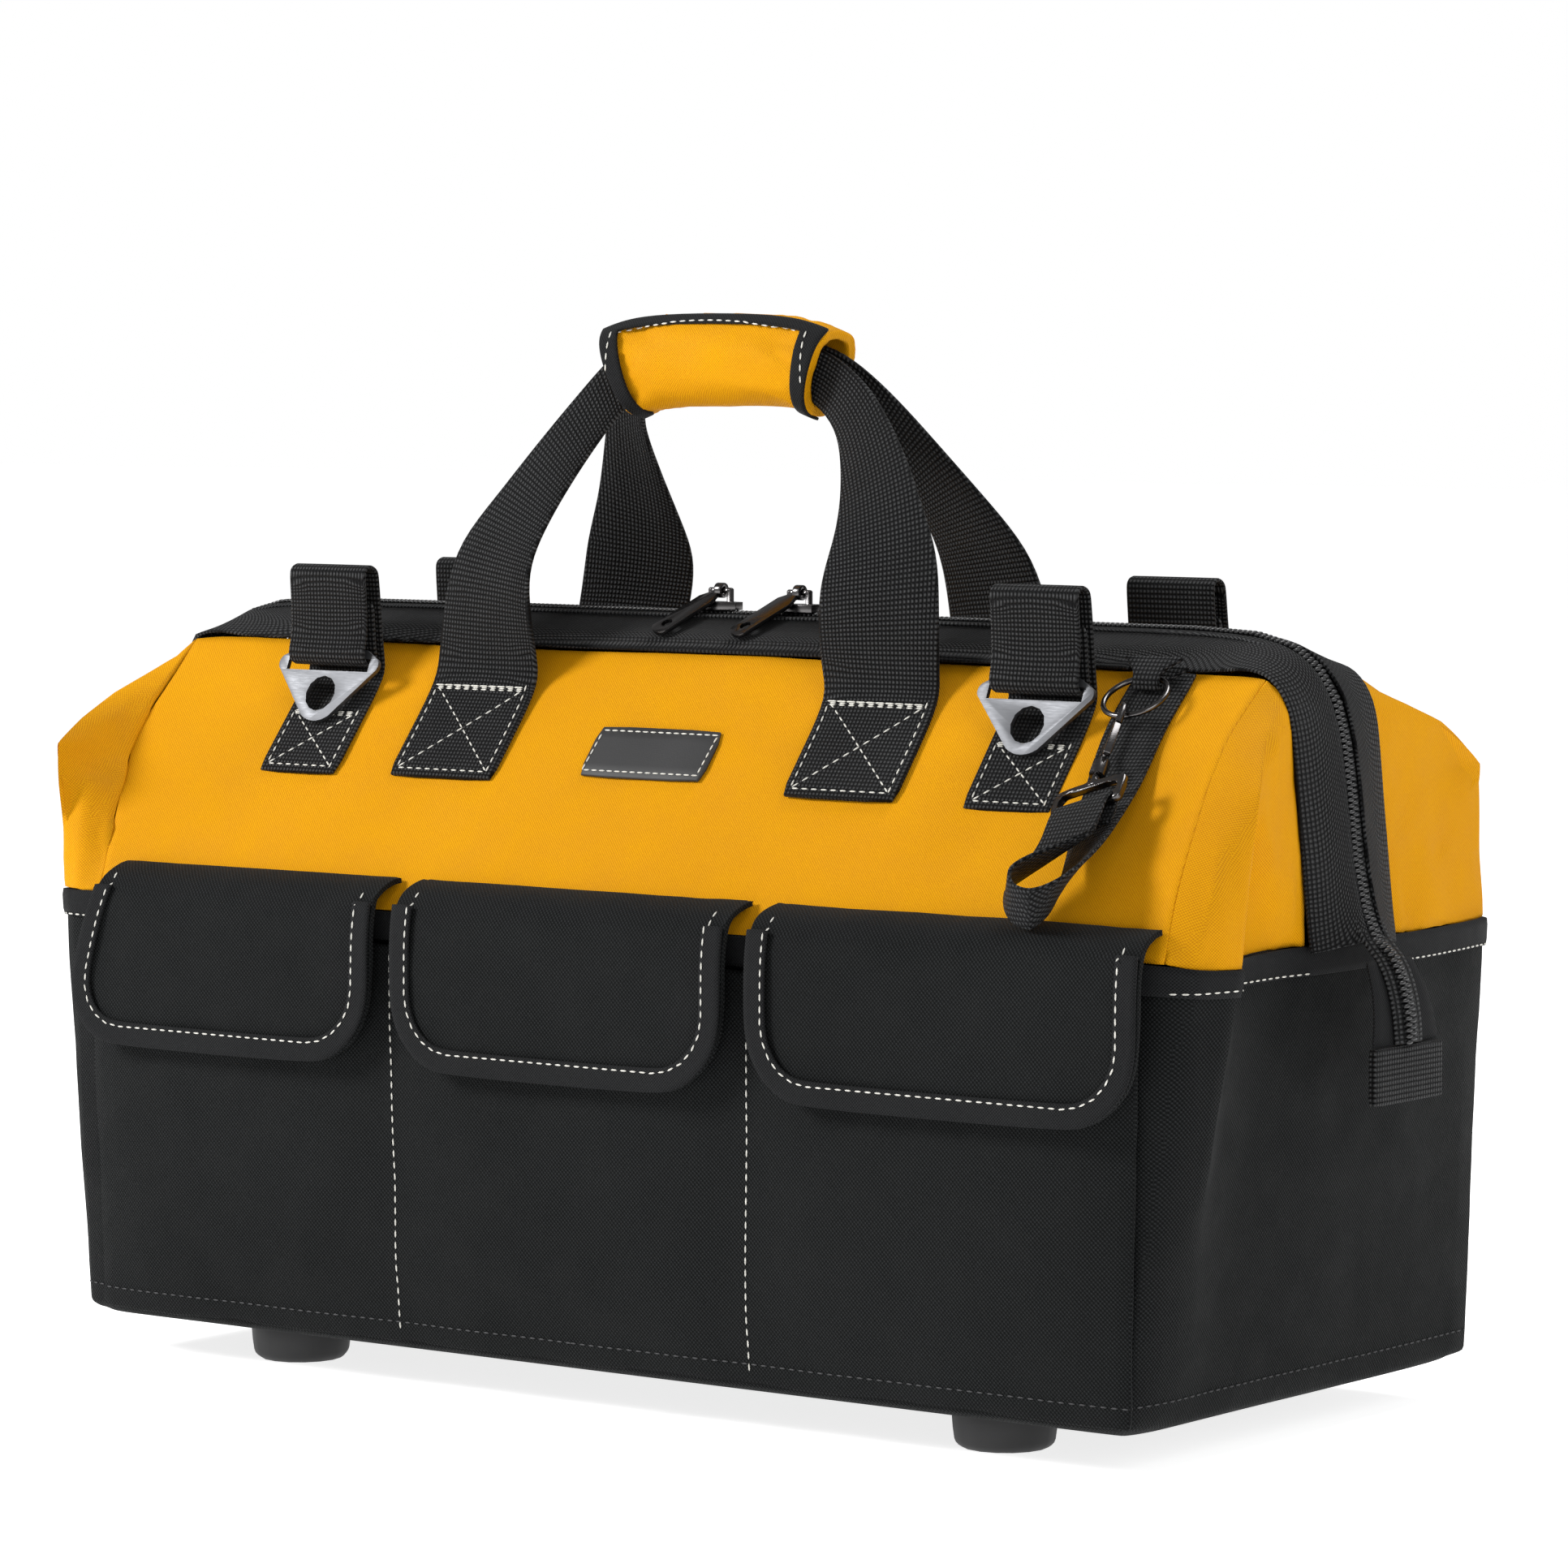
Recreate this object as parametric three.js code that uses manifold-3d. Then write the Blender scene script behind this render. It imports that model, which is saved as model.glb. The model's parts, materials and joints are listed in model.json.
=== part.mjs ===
// Zip-top tool bag, closed. A soft black tub with three flapped front pockets stands on four rubber
// feet. Yellow cloth rises from its rim and leans in to a zip between two webbing bands. Two webbing
// handles meet in a padded grip. Four webbing tool loops hold steel hanger plates, and a tape strap
// hangs on a ring by a snap hook. Millimetres, +X along the bag, +Z up, the front faces -Y.
import * as THREE from "three";
import { mergeGeometries, mergeVertices } from "three/addons/utils/BufferGeometryUtils.js";
import Module from "manifold-3d";

const wasm = await Module();
wasm.setup();

// Body
const baseLength = 490;
const baseDepth = 224;
const rimLength = 500;
const rimDepth = 229;
const tubHeight = 164.5;
const panelRise = 94.5;
const bandRise = 15.5;
const mouthHalfWidth = 27;
const mouthLean = 8;
const hemRadius = 4;
const tubWall = 2.5;
const clothWall = 1.8;
const baseWall = 3;
const seamGap = 0.3;

// Feet
const footHeight = 15;
const footRadius = 19.5;
const footInset = 37.5;
const footEndInset = 80;

// Mouth and zip
const bandThickness = 1.3;
const bandEndAboveRim = 1.5;
const zipHalfWidth = 4.2;
const zipThickness = 2.6;
const zipDepth = 1.6;
const tapeThickness = 0.9;
const tapeHalfWidthTop = 15;
const tapeHalfWidthEnd = 22;
const tabHeight = 20;
const tabThickness = 3;
const tabHalfWidth = 23;

// Trim
const bindingHeight = 10.5;
const bindingThickness = 1.2;

// Front pockets and flaps
const pocketLeft = -236;
const pocketRight = 249;
const pocketDividers = [-83, 83];
const pocketTopBelowRim = 12;
const pocketFullness = 5.5;
const flapSpans = [
  { name: "left", from: -240, to: -87, drawnIn: 19 },
  { name: "middle", from: -76, to: 77, drawnIn: 0 },
  { name: "right", from: 88, to: 254, drawnIn: 0 },
];
const flapThickness = 2;
const flapAboveRim = 12;
const flapBelowRim = 57.5;
const flapCornerRadius = 29;
const flapBindingWidth = 9;
const flapBindingLift = 0.7;
const flapProud = 1.2;

// Handles and grip
const handleSpan = 186;
const handleWebbing = 50;
const handleThickness = 2;
const patchTop = 18;
const handlePatchLength = 48;
const gripHeight = 384;
const gripLength = 95;
const gripHalfHeight = 17.5;
const gripHalfDepth = 14;
const gripWall = 3.8;
const gripEndDrop = 5;
const gripEndTilt = 20;
const strapWidthInGrip = 20;
const strapsApart = 8;

// Tool loops and plates
const loopPlaces = [
  { end: "left", x: -164 },
  { end: "right", x: 167 },
];
const loopWebbing = 38;
const loopThickness = 1.6;
const loopPatchLength = 49;
const loopTop = 304;
const loopStandOff = 13;
const loopEyeRadius = 4;
const loopEyeHeight = 270;
const loopLayerGap = 4.1;
const plateWidth = 50;
const plateThickness = 1.8;
const plateLength = 28;
const plateHoleRadius = 7.2;
const plateRim = 4.2;
const plateBar = 3.6;
const plateSlot = 5.4;
const plateSlotPlay = 1.5;
const plateRestAngle = 24;

// Label patch
const labelWidth = 57;
const labelHeight = 24;
const labelDown = 37.3;
const labelThickness = 1.4;

// Zip sliders and pulls
const sliderLength = 17;
const sliderWidth = 8.4;
const sliderThickness = 3;
const sliderPlaces = [
  { name: "left", x: -10 },
  { name: "right", x: 27 },
];
const bridgeHeight = 4.3;
const bridgeRadius = 1.1;
const bridgeLength = 10.5;
const pullLength = 31;
const pullWidth = 8.5;
const pullThickness = 1.6;
const pullEyeRadius = 2.9;
const pullEyePlay = 0.5;
const pullEyeWidth = 3;
const pullSkew = 27;
const pullSlope = 34;

// Tape strap, ring and snap hook
const tapeX = 208;
const tapeWebbing = 25;
const tapeStrapThickness = 1.5;
const tapeDrop = 125;
const tapeBight = 22;
const ringRadius = 12;
const ringWire = 1.2;
const ringTilt = 15;
const ringHeldDown = 8;
const ringLoopWidth = 11;
const ringSlack = 2.6;
const hookLength = 23;
const hookWidth = 11;
const hookWire = 1.3;
const hookTurn = 48;
const hookReach = 5;
const hookEyeDown = 76;
const hookEyeOff = 17;
const barrelRadius = 3;
const barrelLength = 7;
const gateTop = 7;
const gateWidth = 2.2;
const gatePlay = 0.6;
const stemLength = 3.5;
const eyeHeight = 8;
const eyeWire = 1.3;
const eyeTurn = 14;

const rimZ = footHeight + tubHeight;
const edgeZ = rimZ + panelRise;
const ridgeZ = edgeZ + bandRise;
const radians = THREE.MathUtils.degToRad;
const lerp = THREE.MathUtils.lerp;
const vec = (x, y, z) => new THREE.Vector3(x, y, z);

// How far the leaning mouth carries a point of this height to the left.
const leanAt = (z) => (-mouthLean * Math.max(z - rimZ, 0)) / (ridgeZ - rimZ);
const leaned = (x, y, z) => vec(x + leanAt(z), y, z);

const paint = {
  black: { color: 0x26282a, roughness: 0.85, metalness: 0 },
  webbing: { color: 0x1c1d1f, roughness: 0.8, metalness: 0 },
  yellow: { color: 0xf0a80a, roughness: 0.75, metalness: 0 },
  rubber: { color: 0x151515, roughness: 0.6, metalness: 0 },
  steel: { color: 0xb4b6ba, roughness: 0.35, metalness: 1 },
  gunmetal: { color: 0x4a4a4d, roughness: 0.25, metalness: 1 },
};

const bag = new THREE.Group();

function add(name, geometry, look) {
  const mesh = new THREE.Mesh(geometry, new THREE.MeshStandardMaterial(paint[look]));
  mesh.name = name;
  bag.add(mesh);
}

// A number read from a column of a table at a place along its key column, on an eased curve through
// the rows.
function read(rows, key, place, value) {
  const last = rows.length - 1;
  let i = rows.findIndex((row) => row[key] > place) - 1;
  if (i < 0) i = place <= rows[0][key] ? 0 : last - 1;
  const slope = (k) => {
    const a = rows[Math.max(k - 1, 0)];
    const b = rows[Math.min(k + 1, last)];
    return (value(b) - value(a)) / (b[key] - a[key]);
  };
  const width = rows[i + 1][key] - rows[i][key];
  const t = (place - rows[i][key]) / width;
  const ease = 0.6;
  const bend = t * (1 - t) * width * ease;
  const chord = (value(rows[i + 1]) - value(rows[i])) / width;
  const straight = lerp(value(rows[i]), value(rows[i + 1]), t);
  return straight + bend * ((slope(i) - chord) * (1 - t) - (slope(i + 1) - chord) * t);
}

const spread = (count, from = 0, to = 1) =>
  Array.from({ length: count + 1 }, (_, i) => lerp(from, to, i / count));

// Normals of a grid of points, pointing where the first direction crossed with the second points.
function gridNormals(grid, loop) {
  const n = grid.length;
  const m = grid[0].length;
  return grid.map((column, i) =>
    column.map((_, j) => {
      const before = loop ? (i + n - 1) % n : Math.max(i - 1, 0);
      const after = loop ? (i + 1) % n : Math.min(i + 1, n - 1);
      const along = grid[after][j].clone().sub(grid[before][j]);
      const up = grid[i][Math.min(j + 1, m - 1)].clone().sub(grid[i][Math.max(j - 1, 0)]);
      return along.cross(up).normalize();
    }),
  );
}

function geometryOf(points, triangles) {
  const geometry = new THREE.BufferGeometry();
  geometry.setAttribute("position", new THREE.Float32BufferAttribute(points.flatMap((p) => p.toArray()), 3));
  geometry.setIndex(triangles);
  return geometry;
}

// A closed sheet between two offsets from a grid of points. Cells that keep() refuses are left out.
function sheetFromGrid(grid, normals, { top, bottom, loop = false, keep = () => true }) {
  const n = grid.length;
  const m = grid[0].length;
  const cells = loop ? n : n - 1;
  const points = [];
  const used = new Map();
  const vertex = (i, j, side) => {
    const key = ((i % n) * m + j) * 2 + side;
    if (!used.has(key)) {
      used.set(key, points.length);
      points.push(grid[i % n][j].clone().addScaledVector(normals[i % n][j], side ? bottom : top));
    }
    return used.get(key);
  };
  const triangles = [];
  const quad = (a, b, c, d) => triangles.push(a, b, c, a, c, d);
  const has = (i, j) => {
    const column = loop ? (i + n) % n : i;
    return column >= 0 && column < cells && j >= 0 && j < m - 1 && keep(column, j);
  };
  for (let i = 0; i < cells; i += 1) {
    for (let j = 0; j < m - 1; j += 1) {
      if (!has(i, j)) continue;
      quad(vertex(i, j, 0), vertex(i + 1, j, 0), vertex(i + 1, j + 1, 0), vertex(i, j + 1, 0));
      quad(vertex(i, j, 1), vertex(i, j + 1, 1), vertex(i + 1, j + 1, 1), vertex(i + 1, j, 1));
      if (!has(i - 1, j)) quad(vertex(i, j, 0), vertex(i, j + 1, 0), vertex(i, j + 1, 1), vertex(i, j, 1));
      if (!has(i + 1, j)) {
        quad(vertex(i + 1, j, 0), vertex(i + 1, j, 1), vertex(i + 1, j + 1, 1), vertex(i + 1, j + 1, 0));
      }
      if (!has(i, j - 1)) quad(vertex(i, j, 0), vertex(i, j, 1), vertex(i + 1, j, 1), vertex(i + 1, j, 0));
      if (!has(i, j + 1)) {
        quad(vertex(i, j + 1, 0), vertex(i + 1, j + 1, 0), vertex(i + 1, j + 1, 1), vertex(i, j + 1, 1));
      }
    }
  }
  return geometryOf(points, triangles);
}

// A closed sheet whose skin is point(u, v), with u across v pointing outwards.
function sheet(point, us, vs, options) {
  const grid = us.map((u) => vs.map((v) => point(u, v)));
  return sheetFromGrid(grid, gridNormals(grid, options.loop), options);
}

// Webbing through stations, each with its centre, the unit direction across it and its width.
function webbing(stations, thickness) {
  const grid = stations.map(({ centre, across, width }) => [
    centre.clone().addScaledVector(across, width / 2),
    centre.clone().addScaledVector(across, -width / 2),
  ]);
  return sheetFromGrid(grid, gridNormals(grid), { top: thickness / 2, bottom: -thickness / 2 });
}

// Manifold solids, for the metal pieces that are joined from simpler bodies.
function solid(geometry) {
  const bare = geometry.clone();
  bare.deleteAttribute("normal");
  bare.deleteAttribute("uv");
  const merged = mergeVertices(bare, 1e-4);
  const vertProperties = new Float32Array(merged.attributes.position.array);
  const triVerts = new Uint32Array(merged.index.array);
  return new wasm.Manifold(new wasm.Mesh({ numProp: 3, vertProperties, triVerts }));
}

function fused(...geometries) {
  const mesh = geometries.map(solid).reduce((a, b) => a.add(b)).getMesh();
  const geometry = new THREE.BufferGeometry();
  geometry.setAttribute("position", new THREE.BufferAttribute(new Float32Array(mesh.vertProperties), 3));
  geometry.setIndex(Array.from(mesh.triVerts));
  return geometry;
}

function extruded(shape, thickness, curveSegments = 8) {
  const geometry = new THREE.ExtrudeGeometry(shape, { depth: thickness, bevelEnabled: false, curveSegments });
  return geometry.translate(0, 0, -thickness / 2);
}

// A round wire along a path of points, with flat ends.
function wire(points, radius, steps, sides = 8) {
  const section = new THREE.Shape();
  section.absarc(0, 0, radius, 0, 2 * Math.PI);
  const path = new THREE.CatmullRomCurve3(points);
  return new THREE.ExtrudeGeometry(section, { extrudePath: path, steps, curveSegments: sides });
}

// Lays a geometry drawn in its own X, Y and Z into the frame of three unit directions at a place.
function laid(geometry, right, up, out, place) {
  return geometry.applyMatrix4(new THREE.Matrix4().makeBasis(right, up, out).setPosition(place));
}

// Mouth path
// The zip runs along the ridge and down each end. Shares of half the rim length, of the height from
// the rim to the ridge, and of the band's rise, which is how far the band falls to its cloth edge.
const mouthRows = [
  { x: 0, up: 1, fall: 1 },
  { x: 0.41, up: 1.002, fall: 1 },
  { x: 0.812, up: 1, fall: 1 },
  { x: 0.916, up: 0.988, fall: 0.95 },
  { x: 0.98, up: 0.951, fall: 0.6 },
  { x: 1.02, up: 0.88, fall: 0.28 },
  { x: 1.048, up: 0.771, fall: 0.25 },
  { x: 1.06, up: 0.636, fall: 0.38 },
  { x: 1.065, up: 0.468, fall: 0.45 },
  { x: 1.068, up: 0.268, fall: 0.45 },
  { x: 1.078, up: 0.114, fall: 0.6 },
  { x: 1.093, up: bandEndAboveRim / (ridgeZ - rimZ), fall: 0.8 },
];
const tailRows = [
  { x: 1.119, up: -0.03 },
  { x: 1.137, up: -0.114 },
  { x: 1.148, up: -0.223 },
  { x: 1.15, up: -0.314 },
];

const mouthPlace = (row, side) => ({
  x: (side * row.x * rimLength) / 2,
  z: lerp(rimZ, ridgeZ, row.up),
  fall: (row.fall ?? 0) * bandRise,
});
const mirrored = (rows) => [...rows.slice(1).reverse().map((row) => mouthPlace(row, -1))];
const bandPath = [...mirrored(mouthRows), ...mouthRows.map((row) => mouthPlace(row, 1))];
const zipRows = [...mouthRows, ...tailRows];
const zipPath = [...mirrored(zipRows), ...zipRows.map((row) => mouthPlace(row, 1))];

// Outward direction of a path in the plane of the ridge.
function outwardAt(path, i) {
  const before = path[Math.max(i - 1, 0)];
  const after = path[Math.min(i + 1, path.length - 1)];
  return new THREE.Vector2(before.z - after.z, after.x - before.x).normalize();
}

// A point beside the zip: share 0 on its middle, 1 on the band's cloth edge, lift above the skin.
function mouthPoint(path, i, y, lift) {
  const place = path[i];
  const out = outwardAt(path, i);
  const rise = lift - (place.fall * Math.abs(y)) / mouthHalfWidth;
  return leaned(place.x + out.x * rise, y, place.z + out.y * rise);
}

// Where the band's cloth edge stands on an end at a height, without the lean.
function bandEdgeX(z) {
  const edge = bandPath.map((place, i) => {
    const out = outwardAt(bandPath, i);
    return { x: place.x - out.x * place.fall, z: place.z - out.y * place.fall };
  });
  const end = edge.slice(Math.ceil(edge.length / 2)).reverse();
  const i = Math.max(end.findIndex((point) => point.z > z), 1);
  return lerp(end[i - 1].x, end[i].x, (z - end[i - 1].z) / (end[i].z - end[i - 1].z));
}

// Cloth above the rim
// Where each fold line of a corner stands at five heights, and at the base of the tub below it.
// Shares of half the rim length and of half the rim depth; a third share is how far the rim sags
// there, of the tub height. The band line comes from the mouth, and the top row is spread evenly.
const gussetTop = 0.985;
const cornerDrop = 19;
const pinchedCorner = [
  {
    up: -1,
    seam: [0.985, 0.995],
    bulge: [0.995, 0.93],
    ridge: [0.998, 0.8],
    valley: [0.998, 0.65],
    lip: [0.998, 0.42],
    band: [0.998, 0.236],
  },
  {
    up: 0,
    seam: [1.024, 0.978],
    bulge: [1.062, 0.92, 0.01],
    ridge: [1.084, 0.75, 0.018],
    valley: [1.03, 0.65, 0.006],
    lip: [1.022, 0.32],
    band: [1.034, 0.236],
  },
  {
    up: 0.25,
    seam: [1.025, 0.895],
    bulge: [1.068, 0.84],
    ridge: [1.089, 0.71],
    valley: [1.024, 0.6],
    lip: [1.05, 0.42],
  },
  {
    up: 0.61,
    seam: [1.017, 0.672],
    bulge: [1.046, 0.64],
    ridge: [1.08, 0.585],
    valley: [1.074, 0.56],
    lip: [1.068, 0.52],
  },
  {
    up: 0.8,
    seam: [1.006, 0.498],
    bulge: [1.022, 0.48],
    ridge: [1.044, 0.44],
    valley: [1.05, 0.42],
    lip: [1.054, 0.38],
  },
  { up: 1, seam: [1.002, 0.25] },
];
const earedCorner = [
  { up: -1, seam: [0.97, 0.998], ridge: [1, 0.97], crease: [1.002, 0.52], band: [1, 0.236] },
  { up: 0, seam: [0.972, 1], ridge: [1.004, 0.965], crease: [1.036, 0.52], band: [1.034, 0.236] },
  { up: 0.25, seam: [0.978, 0.904], ridge: [1.002, 0.966], crease: [1.034, 0.31] },
  { up: 0.61, seam: [0.99, 0.7], ridge: [1.006, 0.966], crease: [1.006, 0.82] },
  { up: 0.8, seam: [1.004, 0.498], ridge: [1.028, 0.68], crease: [1.03, 0.56] },
  { up: 1, seam: [1.002, 0.25] },
];
const leftCorner = [
  { up: -1, seam: [0.95, 0.996], ridge: [1, 0.965], crease: [1.002, 0.52], band: [1, 0.236] },
  { up: 0, seam: [0.93, 1], ridge: [1.012, 0.98], crease: [1.032, 0.52], band: [1.034, 0.236] },
  { up: 0.25, seam: [0.932, 0.908], ridge: [1.007, 0.982], crease: [1.034, 0.31] },
  { up: 0.61, seam: [0.979, 0.664], ridge: [1.001, 0.987], crease: [1.008, 0.82] },
  { up: 0.8, seam: [0.982, 0.498], ridge: [1.026, 0.64], crease: [1.032, 0.52] },
  { up: 1, seam: [1.007, 0.25] },
];
const corners = {
  rightFront: { rows: pinchedCorner, lines: ["seam", "bulge", "ridge", "valley", "lip", "band"], x: 1, y: -1 },
  rightBack: { rows: earedCorner, lines: ["seam", "ridge", "crease", "band"], x: 1, y: 1 },
  leftBack: { rows: leftCorner, lines: ["seam", "ridge", "crease", "band"], x: -1, y: 1 },
  leftFront: { rows: leftCorner, lines: ["seam", "ridge", "crease", "band"], x: -1, y: -1 },
};

// The height of a line above the rim: towards the top, lines nearer the band end lower on its edge.
function lineHeight(corner, line, up) {
  const share = corner.lines.indexOf(line) / (corner.lines.length - 1);
  return lerp(rimZ, edgeZ, up * gussetTop) - share * cornerDrop * up ** 8;
}

// The place of a line at one row of its table, as x, y and sag in millimetres.
function linePlace(corner, line, row) {
  if (row[line]) {
    const [x, y, sag = 0] = row[line];
    return [(x * rimLength) / 2, (y * rimDepth) / 2, sag * tubHeight];
  }
  return [bandEdgeX(lineHeight(corner, line, row.up)), mouthHalfWidth, 0];
}

// A point on a line above the rim, up from 0 at the rim to 1 at the mouth.
function linePoint(corner, line, up) {
  const rows = corner.rows.filter((row) => row.up >= 0);
  const part = (k) => read(rows, "up", up, (row) => linePlace(corner, line, row)[k]);
  const z = lineHeight(corner, line, up) + seamGap - part(2);
  return leaned(corner.x * part(0), corner.y * part(1), z);
}

// Columns between the lines of a corner, each a list of points from the rim to the mouth.
const ups = [0, 0.12, 0.25, 0.43, 0.55, 0.61, 0.7, 0.8, 0.9, 1];
function cornerColumns(corner) {
  const keyed = corner.lines.map((line, at) => ({ at, points: ups.map((up) => linePoint(corner, line, up)) }));
  const between = 2;
  return spread((corner.lines.length - 1) * between, 0, corner.lines.length - 1).map((at) =>
    ups.map((_, j) => {
      const part = (axis) => read(keyed, "at", at, (row) => row.points[j][axis]);
      return vec(part("x"), part("y"), part("z"));
    }),
  );
}

// A flat cloth panel leaning in from the rim to the mouth, drawn out to its seams at both ends.
const panelShares = [0.025, 0.06, 0.115, 0.24, 0.37, 0.5, 0.63, 0.76, 0.885, 0.94, 0.975];
const flatUntil = 0.77;
function panelSkin(left, right, share, up) {
  const a = linePoint(left, "seam", up);
  const b = linePoint(right, "seam", up);
  const seam = a.clone().lerp(b, share);
  const flat = left.y * lerp(rimDepth / 2, mouthHalfWidth, up);
  const pull = Math.max(0, (Math.abs(2 * share - 1) - flatUntil) / (1 - flatUntil)) ** 1.6;
  const y = lerp(flat, seam.y, pull);
  return vec(seam.x, y, lerp(rimZ + seamGap, edgeZ, up));
}

const panelColumns = (left, right) =>
  panelShares.map((share) => ups.map((up) => panelSkin(left, right, share, up)));

// How far forward the front cloth stands at a place along it and a height, as y.
function frontClothY(x, z) {
  const { leftFront, rightFront } = corners;
  const up = Math.max(z - rimZ, 0) / panelRise;
  const a = linePoint(leftFront, "seam", up).x;
  const b = linePoint(rightFront, "seam", up).x;
  return panelSkin(leftFront, rightFront, (x - a) / (b - a), up).y;
}

// One skin from band to band over both corners and the panel between them, counter-clockwise seen
// from above, cut at the seams into three sheets that share their mitred edges.
function clothSkin(first, second, names) {
  const columnsA = cornerColumns(first).reverse();
  const columnsB = cornerColumns(second);
  const grid = [...columnsA, ...panelColumns(first, second), ...columnsB];
  const normals = gridNormals(grid);
  normals.forEach((column) => column[0].setZ(0).normalize());
  const seamA = columnsA.length - 1;
  const seamB = grid.length - columnsB.length;
  const cut = (from, to, name) => {
    const part = grid.slice(from, to + 1).map((column) => column.map((p) => p.clone()));
    const directions = normals.slice(from, to + 1);
    const draw = (column, i, side) =>
      column.map((p, j) => {
        const up = column[Math.min(j + 1, column.length - 1)].clone().sub(column[Math.max(j - 1, 0)]);
        return p.clone().addScaledVector(up.cross(directions[i][j]).normalize(), (side * seamGap) / 2);
      });
    const last = part.length - 1;
    part[0] = draw(part[0], 0, 1);
    part[last] = draw(part[last], last, -1);
    add(name, sheetFromGrid(part, directions, { top: 0, bottom: -clothWall }), "yellow");
  };
  cut(0, seamA, names[0]);
  cut(seamA, seamB, names[1]);
  cut(seamB, grid.length - 1, names[2]);
}

function cloth() {
  const { rightFront, rightBack, leftBack, leftFront } = corners;
  clothSkin(leftFront, rightFront, ["gusset_front_left", "front_panel", "gusset_front_right"]);
  clothSkin(rightBack, leftBack, ["gusset_back_right", "back_panel", "gusset_back_left"]);
}

// Tub
// The rim and the base run through the same lines as the corners above them.
function tubOutline(up) {
  const halfLength = (up < 0 ? baseLength : rimLength) / 2;
  const halfDepth = (up < 0 ? baseDepth : rimDepth) / 2;
  const scale = [(2 * halfLength) / rimLength, (2 * halfDepth) / rimDepth];
  const corner = ({ rows, lines, x, y }) => {
    const row = rows.find((entry) => entry.up === up);
    return lines.map((line) => {
      const [px, py, sag] = linePlace({ rows, lines }, line, row);
      return vec(x * px * scale[0], y * py * scale[1], -sag);
    });
  };
  const { rightFront, rightBack, leftBack, leftFront } = corners;
  const ends = up < 0 ? 1 : 1.04;
  const side = (facing, from, to) => spread(4, from, to).map((x) => vec(x, facing * halfDepth, 0));
  return [
    ...side(-1, halfLength * -0.92, halfLength * 0.97),
    ...corner(rightFront),
    vec(halfLength * ends, 0, 0),
    ...corner(rightBack).reverse(),
    ...side(1, halfLength * 0.93, -halfLength * 0.93),
    ...corner(leftBack),
    vec(-halfLength * ends, 0, 0),
    ...corner(leftFront).reverse(),
  ];
}

// How far the skin is drawn in at the hem, by height above the base.
const hemRows = [
  { z: 0.3, inset: 1 },
  { z: 2, inset: 0.36 },
  { z: hemRadius, inset: 0 },
];

function tub() {
  const base = tubOutline(-1);
  const rim = tubOutline(0);
  const heights = [...hemRows, ...[0.2, 0.45, 0.7, 0.88, 1].map((share) => ({ z: share * tubHeight, inset: 0 }))];
  const skin = (i, { z, inset }) => {
    const share = z / tubHeight;
    const drawn = vec(base[i].x, base[i].y, 0);
    const x = lerp(drawn.x, rim[i].x, share) * (1 - (2 * inset * hemRadius) / baseLength);
    const y = lerp(drawn.y, rim[i].y, share) * (1 - (2 * inset * hemRadius) / baseDepth);
    return vec(x, y, footHeight + z + rim[i].z * share ** 6);
  };
  const grid = base.map((_, i) => heights.map((row) => skin(i, row)));
  const normals = gridNormals(grid, true);
  normals.forEach((column) => column.forEach((n) => n.setZ(0).normalize()));
  add("tub_wall", sheetFromGrid(grid, normals, { top: 0, bottom: -tubWall, loop: true }), "black");

  const outline = grid.map((column, i) => {
    const p = column[0].clone().addScaledVector(normals[i][0], -tubWall - 2 * seamGap);
    return new THREE.Vector2(p.x, p.y);
  });
  const basePanel = extruded(new THREE.Shape(outline), baseWall);
  add("base_panel", basePanel.translate(0, 0, footHeight + baseWall / 2), "black");

  const band = rim.map((_, i) => [tubHeight - bindingHeight, tubHeight].map((z) => skin(i, { z, inset: 0 })));
  const bandNormals = gridNormals(band, true);
  bandNormals.forEach((column) => column.forEach((n) => n.setZ(0).normalize()));
  const options = { top: 1.5 * seamGap + bindingThickness, bottom: 1.5 * seamGap, loop: true };
  add("rim_binding", sheetFromGrid(band, bandNormals, options), "webbing");
}

function feet() {
  const top = footHeight - seamGap;
  const profile = [
    [0, 0],
    [footRadius * 0.8, 0],
    [footRadius * 0.93, top * 0.12],
    [footRadius * 0.97, top * 0.5],
    [footRadius, top],
    [0, top],
  ].map(([r, z]) => new THREE.Vector2(r, z));
  for (const [end, x] of [["left", -1], ["right", 1]]) {
    for (const [face, y] of [["front", -1], ["back", 1]]) {
      const foot = new THREE.LatheGeometry(profile, 16).rotateX(Math.PI / 2);
      foot.translate(x * (baseLength / 2 - footEndInset), y * (baseDepth / 2 - footInset), 0);
      add(`foot_${face}_${end}`, foot, "rubber");
    }
  }
}

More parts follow.
